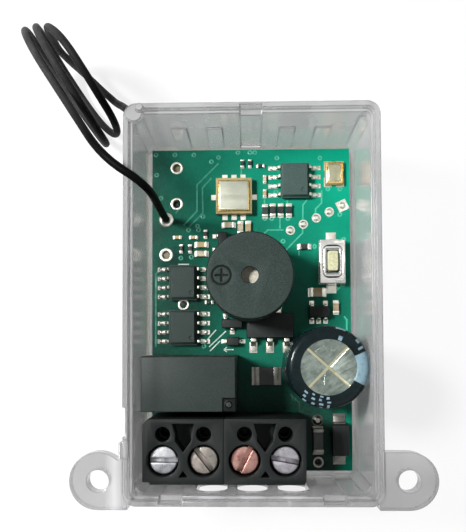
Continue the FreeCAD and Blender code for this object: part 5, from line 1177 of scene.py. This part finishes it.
@dataclass
class TerminalBlocks(SubAssembly):
    """Two terminal blocks with their screws and clamps."""

    housing_round: float = 0.1
    screw_round: float = 0.07
    clamp_round: float = 0.12

    def build(self) -> None:
        """Models and dresses the blocks."""
        for side in ("left", "right"):
            node, name = f"terminal_housing_{side}", f"block_housing_{side}"
            self.soften(node, name, self.housing_round, BLOCK_PLASTIC)
        for number, plating in enumerate(SCREW_PLATINGS, 1):
            self.soften(f"terminal_screw_{number}", f"block_screw_{number}", self.screw_round, plating)
            self.soften(f"terminal_cage_{number}", f"block_clamp_{number}", self.clamp_round, PLATED_STEEL)
        # Painted shade: the contacts are dressed near black, as the holes they sit in lie in shade.
        self.dress(SHADED_CONTACT, "terminal_contacts")


@dataclass
class Relay(SubAssembly):
    """The relay's cover and all that is inside it."""

    cover_round: float = 0.16

    def build(self) -> None:
        """Models and dresses the relay."""
        self.soften("relay_cover", "relay_shell", self.cover_round, RELAY_PLASTIC, 3)
        self.dress(BLACK_NYLON, "relay_base", "relay_bobbin")
        self.dress(COPPER_WIRE, "relay_winding")
        self.dress(PLATED_STEEL, "relay_yoke", "relay_armature")
        self.dress(BRASS, "relay_moving_contact", "relay_fixed_contacts")
        self.dress(TINNED, "relay_pins")


@dataclass
class Buzzer(SubAssembly):
    """The buzzer's cup and inner parts."""

    cup_round: float = 0.1

    def build(self) -> None:
        """Models and dresses the buzzer."""
        self.soften("buzzer_case", "buzzer_cup", self.cup_round, BUZZER_PLASTIC, 2, 55.0)
        self.dress(BLACK_NYLON, "buzzer_base")
        self.dress(MAGNET, "buzzer_magnet")
        self.dress(COPPER_WIRE, "buzzer_coil")
        self.dress(PLATED_STEEL, "buzzer_core")
        self.dress(DISC_LACQUER, "buzzer_diaphragm")
        self.dress(TINNED, "buzzer_pins")


@dataclass
class Capacitor(SubAssembly):
    """The capacitor's sleeve, can and inner parts."""

    skin: float = 0.12
    line_depth: float = 0.06
    can_round: float = 0.05
    curl: Sequence[Spot] = ((4.52, 0.03), (4.8, 0.02), (4.94, 0.12))
    curl_height: float = 0.35
    crimp: Sequence[Spot] = ((5.0, 1.5), (4.96, 1.75), (4.89, 1.95), (4.88, 2.1), (4.89, 2.25), (4.96, 2.45))
    rounds: Sequence[float] = (2.75, 5.0, 8.5)
    bend_depth: float = 0.85
    shoulder: Sequence[Spot] = (
        (4.95, 0.55), (4.8, 0.27), (4.55, 0.09), (4.2, 0.01), (3.8, 0.0), (3.5, 0.03), (3.37, 0.1))

    def sleeve(self) -> Piece:
        """The turned sleeve with its crimp, shoulder and lip.

        Returns:
            The sleeve.
        """
        low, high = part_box("capacitor_sleeve")
        radius = (high.x - low.x) / 2 / MM
        foot, top = ((z - self.board_top) / MM for z in (low.z, high.z))
        profile = [(r, foot + z) for r, z in (*self.curl, (radius, self.curl_height))] + [*self.crimp]
        profile += [(radius, z) for z in (*self.rounds, top - self.bend_depth)]
        profile += [(r, top - z) for r, z in self.shoulder]
        middle = (low + high) / 2
        piece = lathe("capacitor_jacket", Vector((middle.x, middle.y, self.board_top)), profile, 96)
        apply_modifier(piece, "SOLIDIFY", thickness=self.skin * MM, offset=-1.0)
        smooth(piece, 50)
        return piece

    def build(self) -> None:
        """Models and dresses the capacitor."""
        low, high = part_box("capacitor_sleeve")
        finish = ShrunkSleeve(tuple((low + high).xy / 2))
        self.hand_over(self.sleeve(), finish, "capacitor_sleeve", replaced=["capacitor_sleeve"])
        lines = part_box("capacitor_can")[1].z - self.line_depth * MM
        self.soften("capacitor_can", "capacitor_cup", self.can_round, CanTop(lines), 2, 45.0)
        self.dress(ROLLED_PAPER, "capacitor_element")
        self.dress(BUNG_RUBBER, "capacitor_bung")
        self.dress(TINNED, "capacitor_leads")


@dataclass
class PushSwitch(SubAssembly):
    """The push switch."""

    spring_give: float = 0.21
    key_gap: float = 0.12
    key_width: float = 1.3
    plate: Triple = (1.95, 3.55, 0.12)
    ring: Triple = (2.45, 4.15, 0.24)
    ring_width: float = 0.28
    ring_corner: float = 0.55
    plate_corner: float = 0.35
    lip_round: float = 0.04
    slack: float = 0.02
    cover_round: float = 0.09
    body_round: float = 0.05
    key_round: float = 0.1
    leg_round: float = 0.05

    def lip(self, name: str, size: Sequence[float], width: float, corner: float) -> Piece:
        """A flat ring with rounded corners that stands inside the cover's window, round the key.

        Args:
            name: The piece's name.
            size: Its outer sides and its height, in millimetres.
            width: The ring's width, in millimetres.
            corner: Radius of its outer corners, in millimetres.

        Returns:
            The ring.
        """
        low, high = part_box("switch_frame")
        middle = (low + high) / 2
        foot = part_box("switch_base")[1].z
        ring = settle(add_block(Vector((middle.x, middle.y, foot + size[2] / 2 * MM)), size), name)
        pick(ring, "EDGE", lambda a, b: abs(a.z - b.z) > size[2] / 2 * MM)
        bpy.ops.mesh.bevel(offset=corner * MM, segments=6, affect="EDGES")
        done()
        pick(ring, "FACE", lambda centre, normal: abs(normal.z) > 0.9)
        bpy.ops.mesh.inset(thickness=width * MM)
        bpy.ops.mesh.delete(type="FACE")
        done()
        inner = [(side / 2 - width + self.slack) * MM for side in size[:2]]
        pick(ring, "EDGE", lambda a, b: all(
            abs(p.x - middle.x) < inner[0] and abs(p.y - middle.y) < inner[1] for p in (a, b)))
        bpy.ops.mesh.bridge_edge_loops()
        done()
        outward(ring)
        soften_edges(ring, self.lip_round)
        return ring

    def build(self) -> None:
        """Models and dresses the switch."""
        self.soften("switch_frame", "switch_cover", self.cover_round, BRIGHT_STEEL, 3)
        ring = self.lip("switch_inner_ring", self.ring, self.ring_width, self.ring_corner)
        self.hand_over(ring, BRIGHT_STEEL, "switch_frame")
        plate_width = (self.plate[0] - self.key_width) / 2 - self.key_gap
        plate = self.lip("switch_inner_plate", self.plate, plate_width, self.plate_corner)
        self.hand_over(plate, INNER_GREY, "switch_frame")
        self.soften("switch_base", "switch_body", self.body_round, BLACK_NYLON)
        self.soften("switch_button", "switch_key", self.key_round, KEY_PLASTIC, 3)
        self.soften("switch_leads", "switch_legs", self.leg_round, TINNED)
        spring = self.soften("switch_dome", "switch_spring", 0, BRIGHT_STEEL)
        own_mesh(spring)


@dataclass
class SurfaceParts(SubAssembly):
    """Chips, regulator, diodes, filter, crystal and chip parts, with their solder."""

    chips: Sequence[Spot] = ((6.12, 17.74), (-9.4, 3.6), (-9.4, -2.62))
    chip_lead_x: float = 3.0
    chip_pitch: float = 1.27
    side_pins: int = 4
    toe: Triple = (0.3, 0.28, 0.2)
    toe_reach: float = 0.1
    toe_lift: float = 0.04
    foot_height: float = 0.35
    foot_growth: float = 1.1
    top_band: float = 0.3
    shoulder: float = 0.75
    filter_sides: tuple[Spot, Spot] = ((-4.48, 13.47), (-0.18, 17.77))
    crystal_sides: tuple[Spot, Spot] = ((10.47, 17.275), (12.77, 20.225))
    filter_rise: float = 0.5
    filter_rim: float = 0.16
    crystal_height: float = 0.3
    crystal_rim: float = 0.3
    lid_share: float = 0.6
    seal_round: float = 0.14
    slope: Spot = (0.16, 0.02)
    plate_round: float = 0.06
    draft_round: float = 0.05
    drafts: Sequence[tuple[str, str, float, Finish]] = (
        ("receiver_chip", "receiver_body", 0.16, CHIP_EPOXY),
        ("logic_chips", "logic_bodies", 0.26, SHADED_CHIP_EPOXY))
    mouldings: Sequence[tuple[str, str, float]] = (
        ("regulator", "regulator_body", 0.06), ("small_bodies", "small_mouldings", 0.05),
        ("power_diode", "power_diode_body", 0.07))
    leads: Sequence[str] = (
        "receiver_chip_leads", "logic_chip_leads", "regulator_leads", "small_leads", "power_diode_tabs")
    lead_round: float = 0.04
    chip_parts: Sequence[tuple[str, str, float, Finish, int]] = (
        ("chip_resistors", "resistor_bodies", 0.04, RESISTOR_BODY, 1),
        ("chip_capacitors", "capacitor_chips", 0.04, TAN_CERAMIC, 1),
        ("chip_ends", "chip_terminations", 0.05, TINNED, 2),
        ("ceramic_bases", "ceramic_packages", 0.08, BASE_CERAMIC, 2))

    def bead(self) -> Piece:
        """The master of one bead of solder: half a ball, wider at its foot.

        Returns:
            The bead.
        """
        deselect()
        bpy.ops.mesh.primitive_uv_sphere_add(segments=14, ring_count=8, radius=1.0, location=(0, 0, 0))
        bead = bpy.context.object
        edit(bead)
        bpy.ops.mesh.bisect(plane_co=(0, 0, 0), plane_no=(0, 0, 1), clear_inner=True, use_fill=True)
        done()
        pick(bead, "FACE", lambda centre, normal: centre.z < self.foot_height and abs(normal.z) < 0.9)
        bpy.ops.transform.resize(value=(self.foot_growth, self.foot_growth, 1), center_override=(0, 0, 0))
        done()
        smooth(bead, 60)
        return bead

    def toes(self) -> Piece:
        """Solder at the toe of every chip lead.

        Returns:
            The joined beads.
        """
        size = tuple(side * MM for side in self.toe)
        reach = self.chip_lead_x + self.toe_reach
        last = self.side_pins - 1
        places = [self.at(x + side * reach, y + self.chip_pitch * (last / 2 - step), self.toe_lift)
                  for x, y in self.chips for side in (-1, 1) for step in range(self.side_pins)]
        return copies(self.bead(), places, size, "lead_solder")

    def drafted(self, node: str, name: str, inward: float, finish: Finish) -> None:
        """Puts chip bodies with slanted shoulders, as moulds leave them, in a CAD node's place.

        Args:
            node: The node.
            name: The new piece's name.
            inward: How much narrower the top is at each side, in millimetres.
            finish: The finish.
        """
        piece = self.soften(node, name, 0, finish)
        top = max(vertex.co.z for vertex in piece.data.vertices)
        pick(piece, "FACE", lambda centre, normal: centre.z > top - self.top_band * MM)
        bpy.ops.transform.translate(value=(0, 0, -self.shoulder * MM))
        bpy.ops.mesh.inset(thickness=inward * MM)
        bpy.ops.transform.translate(value=(0, 0, self.shoulder * MM))
        done()
        soften_edges(piece, self.draft_round)

    def lid(self, low: Vector, high: Vector, rim: float, name: str) -> tuple[Piece, Piece]:
        """A lid on its seal: a gold rim and a plate with a sloped edge.

        Args:
            low: The lid's lowest corner, in metres.
            high: Its highest corner.
            rim: How far the gold shows round the plate, in millimetres.
            name: The first part of the two pieces' names.

        Returns:
            The seal and the plate.
        """
        size = (high - low) / MM
        middle = (low + high) / 2
        inset = self.lid_share / 2 * (high.z - low.z)
        made = []
        for part, height, less in (("seal", low.z + inset, 0.0), ("plate", high.z - inset, 2 * rim)):
            centre = Vector((middle.x, middle.y, height))
            block = add_block(centre, (size.x - less, size.y - less, self.lid_share * size.z))
            made.append(settle(block, f"{name}_{part}"))
        seal, plate = made
        soften_edges(seal, self.seal_round, 3, 60.0)
        pick(plate, "FACE", lambda centre, normal: normal.z > 0.9)
        bpy.ops.mesh.inset(thickness=self.slope[0] * MM)
        bpy.ops.transform.translate(value=(0, 0, self.slope[1] * MM))
        done()
        soften_edges(plate, self.plate_round, 2, 20.0)
        return seal, plate

    def lids(self) -> None:
        """The lids of the filter and the crystal."""
        low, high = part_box("ceramic_lids")
        crystal_top = low.z + self.crystal_height * MM
        for name, sides, bottom, top, rim, finish, replaced in (
                ("filter_lid", self.filter_sides, low.z + self.filter_rise * MM, high.z, self.filter_rim,
                 LID_NICKEL, ["ceramic_lids"]),
                ("crystal_lid", self.crystal_sides, low.z, crystal_top, self.crystal_rim, CRYSTAL_LID, [])):
            corners = [Vector((x * MM, self.at(0, y).y, z)) for (x, y), z in zip(sides, (bottom, top))]
            seal, plate = self.lid(*corners, rim, name)
            self.hand_over(seal, SEAL_GOLD, "ceramic_lids", replaced=replaced)
            self.hand_over(plate, finish, "ceramic_lids")

    def build(self) -> None:
        """Models and dresses the surface parts."""
        for row in self.drafts:
            self.drafted(*row)
        for node, name, width in self.mouldings:
            self.soften(node, name, width, DARK_EPOXY)
        for node in self.leads:
            self.soften(node, f"{node}_tinned", self.lead_round, TINNED)
        for row in self.chip_parts:
            self.soften(*row)
        self.hand_over(self.toes(), SOLDER, "receiver_chip_leads")
        self.lids()


@dataclass
class Aerial(SubAssembly):
    """The aerial wire: its lead over the rim, the standing coil and the free end."""

    wire_radius: float = 0.5
    coil_radius: float = 8.6
    coil_x: float = -25.95
    coil_y: float = 29.35
    off_table: float = 0.15
    heading: float = -55.5
    start_turn: float = 90.0
    turn_step: float = 22.5
    drifts: Sequence[float] = (
        0.5, 0.68, 1.05, 1.3, 1.42, 1.38, 1.3, 1.25, 1.25, 1.28, 1.36, 1.5, 1.55, 1.56, 1.62, 1.78,
        1.95, 2.2, 2.5, 2.7, 2.8, 2.72, 2.6, 2.53, 2.5, 2.6, 2.95, 3.4, 3.85, 4.1, 4.15, 4.3,
        4.4, 4.25, 3.85, 3.7, 3.7)
    bulges: Sequence[tuple[int, float]] = (
        (2, 0.35), (3, 0.2), (18, 0.35), (19, 0.3), (20, 0.2), (34, 0.2), (35, 0.1))
    reaches: Sequence[float] = (8.28, 8.97, 7.65, 8.58, 6.83)
    last_radius: float = 5.6
    last_bend: float = 120.0
    bend_drifts: Sequence[float] = (3.5, 3.95, 4.65, 5.15, 5.5)
    foot: Triple = (-11.85, 13.0, 4.85)
    rise: float = 6.3
    lead_route: Sequence[Triple] = ((-12.0, 13.65, 21.75), (-17.35, 17.02, 21.6))
    last_run: float = 6.1
    start_drift: float = 1.3
    end_lean: float = 0.15
    tail_route: Sequence[Triple] = ((4.3, 6.0, 5.9), (7.2, 11.0, 6.1), (9.5, 14.6, 6.1))
    length: float = 0.1855
    bead: Profile = ((0.46, 0.0), (0.5, 0.4), (0.6, 0.22), (0.76, 0.13), (0.98, 0.07), (1.02, 0.0))
    bead_sink: float = 0.04
    stub: Profile = ((0.03, 0.0), (0.14, 0.0), (0.16, 0.02), (0.14, 0.05), (0.03, 0.06))
    stub_sink: float = 0.03

    def way(self, turn: float = 0.0) -> Vector:
        """Level unit vector at a turn in degrees from the coil's plane, which points to the case."""
        a = math.radians(self.heading + turn)
        return Vector((math.cos(a), math.sin(a), 0))

    def place(self, s: float, z: float, drift: float) -> Vector:
        """A point by its place in the coil's plane and its drift along the axis, in millimetres."""
        return Vector((self.coil_x, self.coil_y, z)) + self.way() * s + self.way(90) * drift

    def axis_height(self) -> float:
        """The height of the coil's axis."""
        return self.coil_radius + self.wire_radius + self.off_table

    def turn_point(self, number: int) -> Vector:
        """A point of the full turns.

        Args:
            number: Its number.

        Returns:
            The point, in millimetres.
        """
        gone = self.turn_step * number
        a = math.radians(self.start_turn + gone)
        side = min(int(gone // 180), len(self.reaches) - 1)
        bulge = dict(self.bulges).get(number, 0.0)
        return self.place((self.reaches[side] + bulge) * math.cos(a),
                          self.axis_height() + (self.coil_radius + bulge) * math.sin(a), self.drifts[number])

    def start_heading(self) -> Vector:
        """The wire's direction where the full turns start."""
        lean = (self.start_drift - self.drifts[0]) / math.pi
        return (self.way() * -self.reaches[0] + self.way(90) * lean).normalized()

    def bend_point(self, number: int) -> Vector:
        """A point of the smaller bend that follows the full turns, by its number."""
        a = math.radians(180 + self.last_bend * (number + 1) / len(self.bend_drifts))
        return self.place(-self.reaches[-1] + self.last_radius * (1 + math.cos(a)),
                          self.axis_height() + self.last_radius * math.sin(a), self.bend_drifts[number])

    def bend_heading(self) -> Vector:
        """The wire's direction where the smaller bend ends.

        Returns:
            A unit vector.
        """
        rise = math.radians(self.last_bend - 90)
        way = self.way() * math.cos(rise) + Vector((0, 0, math.sin(rise))) + self.way(90) * self.end_lean
        return way.normalized()

    def route(self) -> list[Vector]:
        """The wire's route points from the pad to the free end, in millimetres.

        Returns:
            The points.
        """
        foot = Vector(self.foot)
        outer = self.turn_point(0) - self.start_heading() * 2 * self.wire_radius
        points = [foot, foot + Vector((0, 0, self.rise))] + [Vector(p) for p in self.lead_route]
        points += [outer - self.start_heading() * self.last_run, outer]
        points += [self.turn_point(number) for number in range(len(self.drifts))]
        points += [self.bend_point(number) for number in range(len(self.bend_drifts))]
        points.append(points[-1] + self.bend_heading() * 2 * self.wire_radius)
        return points + [self.place(s, z, drift) for s, z, drift in self.tail_route]

    def wire(self, points: Sequence[Vector]) -> Piece:
        """The cord on one smooth spline through its route.

        Args:
            points: The route, in millimetres.

        Returns:
            The curve.
        """
        curve = bpy.data.curves.new("aerial_wire", "CURVE")
        curve.dimensions = "3D"
        spline = curve.splines.new("NURBS")
        spline.points.add(len(points) - 1)
        for point, target in zip(spline.points, points):
            point.co = (*(target * MM), 1)
        spline.order_u = 3
        spline.use_endpoint_u = True
        spline.resolution_u = 6
        curve.bevel_depth = self.wire_radius * MM
        curve.bevel_resolution = 5
        curve.use_fill_caps = True
        wire = bpy.data.objects.new("aerial_wire", curve)
        bpy.context.collection.objects.link(wire)
        return wire

    def core(self, points: Sequence[Vector]) -> Piece:
        """The bare copper that shows at the cut end.

        Args:
            points: The route, in millimetres.

        Returns:
            The copper's end.
        """
        way = (points[-1] - points[-2]).normalized()
        stub = lathe("aerial_core", Vector(), self.stub, 20)
        stub.data.transform(Matrix.Translation(points[-1] * MM - way * self.stub_sink * MM)
                            @ way.to_track_quat("Z", "Y").to_matrix().to_4x4())
        smooth(stub, 50)
        return stub

    def build(self) -> None:
        """Models and dresses the aerial."""
        points = self.route()
        core = self.hand_over(self.core(points), CORE_COPPER, "antenna_tail")
        wire = self.wire(points)
        self.hand_over(wire, WireJacket(), "antenna_coil",
                       replaced=["antenna_lead", "antenna_coil", "antenna_tail"])
        x, y, z = self.foot
        foot = Vector((x * MM, y * MM, (z - self.bead_sink) * MM))
        self.hand_over(turnings("aerial_solder", [(foot, self.bead)], 40, 60), SOLDER, "solder_joints")


# Studio


@dataclass(frozen=True)
class Studio:
    """The camera, the lamps, the floor and the world."""

    eye: Triple = (-0.659, -6.074, 99.215)
    tilt: Triple = (2.2268, 1.5294, -0.1991)
    lens: float = 46.017
    shift: Spot = (0.00842, 0.11883)
    aim: Triple = (0, 0, 0.01)
    lamps: Sequence[tuple[str, Triple, float, float]] = (
        ("key_lamp", (-0.155, 0.05, 0.205), 0.05, 0.98), ("fill_lamp", (0.2, -0.12, 0.2), 0.25, 0.06))
    world_light: float = 0.22
    dim_side: float = 0.35
    backdrop_share: float = 0.8
    floor_size: float = 3.0
    floor_grey: float = 0.9

    def camera(self) -> None:
        """Puts the camera where the photograph was taken."""
        data = bpy.data.cameras.new("camera")
        data.lens = self.lens
        data.shift_x, data.shift_y = self.shift
        data.clip_start = 0.005
        camera = bpy.data.objects.new("camera", data)
        camera.location = Vector(self.eye) * MM
        camera.rotation_euler = [math.radians(a) for a in self.tilt]
        bpy.context.collection.objects.link(camera)
        bpy.context.scene.camera = camera

    def light(self) -> None:
        """Adds the soft square lamps, which shine at the object's middle."""
        for name, place, side, watts in self.lamps:
            data = bpy.data.lights.new(name, "AREA")
            data.size = side
            data.energy = watts
            lamp = bpy.data.objects.new(name, data)
            lamp.visible_transmission = False
            lamp.location = place
            lamp.rotation_euler = (Vector(self.aim) - Vector(place)).to_track_quat("-Z", "Y").to_euler()
            bpy.context.collection.objects.link(lamp)

    def backdrop(self, bench: Bench, lit: Socket, shown: Socket, share: float = 1.0) -> Socket:
        """Mixes what lights the object with what the camera sees, also by gloss or glass.

        Args:
            bench: The bench of the tree.
            lit: The shader that other rays meet.
            shown: The shader that the rays which show the backdrop meet.
            share: How much of it they see.

        Returns:
            The mixed shader.
        """
        rays = bench.add("LightPath").outputs
        seen = bench.most(rays["Is Camera Ray"], rays["Is Glossy Ray"], rays["Is Transmission Ray"])
        return bench.add("MixShader", {0: bench.times(seen, share), 1: lit, 2: shown}).outputs[0]

    def world(self) -> None:
        """A pale world that shows white, and that gloss sees dimmer towards the left."""
        world = bpy.data.worlds.new("studio_world")
        world.use_nodes = True
        bench = Bench(world.node_tree)
        x = bench.parts(bench.add("TexCoord").outputs["Generated"])[0]
        camera_ray = bench.add("LightPath").outputs["Is Camera Ray"]
        level = bench.most(bench.ramp(x, -0.7, 0.5, self.dim_side, 1.0), camera_ray)
        lit, shown = (bench.add("Background", {"Color": (1, 1, 1), "Strength": strength}).outputs[0]
                      for strength in (self.world_light, level))
        bench.add("OutputWorld", {"Surface": self.backdrop(bench, lit, shown)})
        bpy.context.scene.world = world

    def floor(self) -> None:
        """A pale floor that keeps the object's shadow."""
        deselect()
        bpy.ops.mesh.primitive_plane_add(size=self.floor_size, location=(0, 0, 0))
        floor = bpy.context.object
        floor.name = "studio_floor"
        material = bpy.data.materials.new("studio_floor")
        material.use_nodes = True
        bench = Bench(material.node_tree)
        matt = bench.add("BsdfDiffuse", {"Color": (self.floor_grey,) * 3}).outputs[0]
        glow = bench.add("Emission", {"Strength": 1.0}).outputs[0]
        bench.add("OutputMaterial", {"Surface": self.backdrop(bench, matt, glow, self.backdrop_share)})
        floor.data.materials.append(material)

    def build(self) -> None:
        """Sets up the whole studio."""
        self.camera()
        self.light()
        self.world()
        self.floor()
        bpy.context.scene.view_settings.view_transform = "Standard"


def main() -> None:
    """Loads the frame and builds the scene, sub-assembly by sub-assembly."""
    logging.basicConfig(level=logging.INFO, format="%(message)s")
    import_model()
    Studio().build()
    for kind in (Aerial, ClearTray, CircuitBoard, TerminalBlocks, Relay, Buzzer, Capacitor, PushSwitch,
                 SurfaceParts):
        LOG.info("building %s", kind.__name__)
        kind().build()


if __name__ == "__main__":
    main()
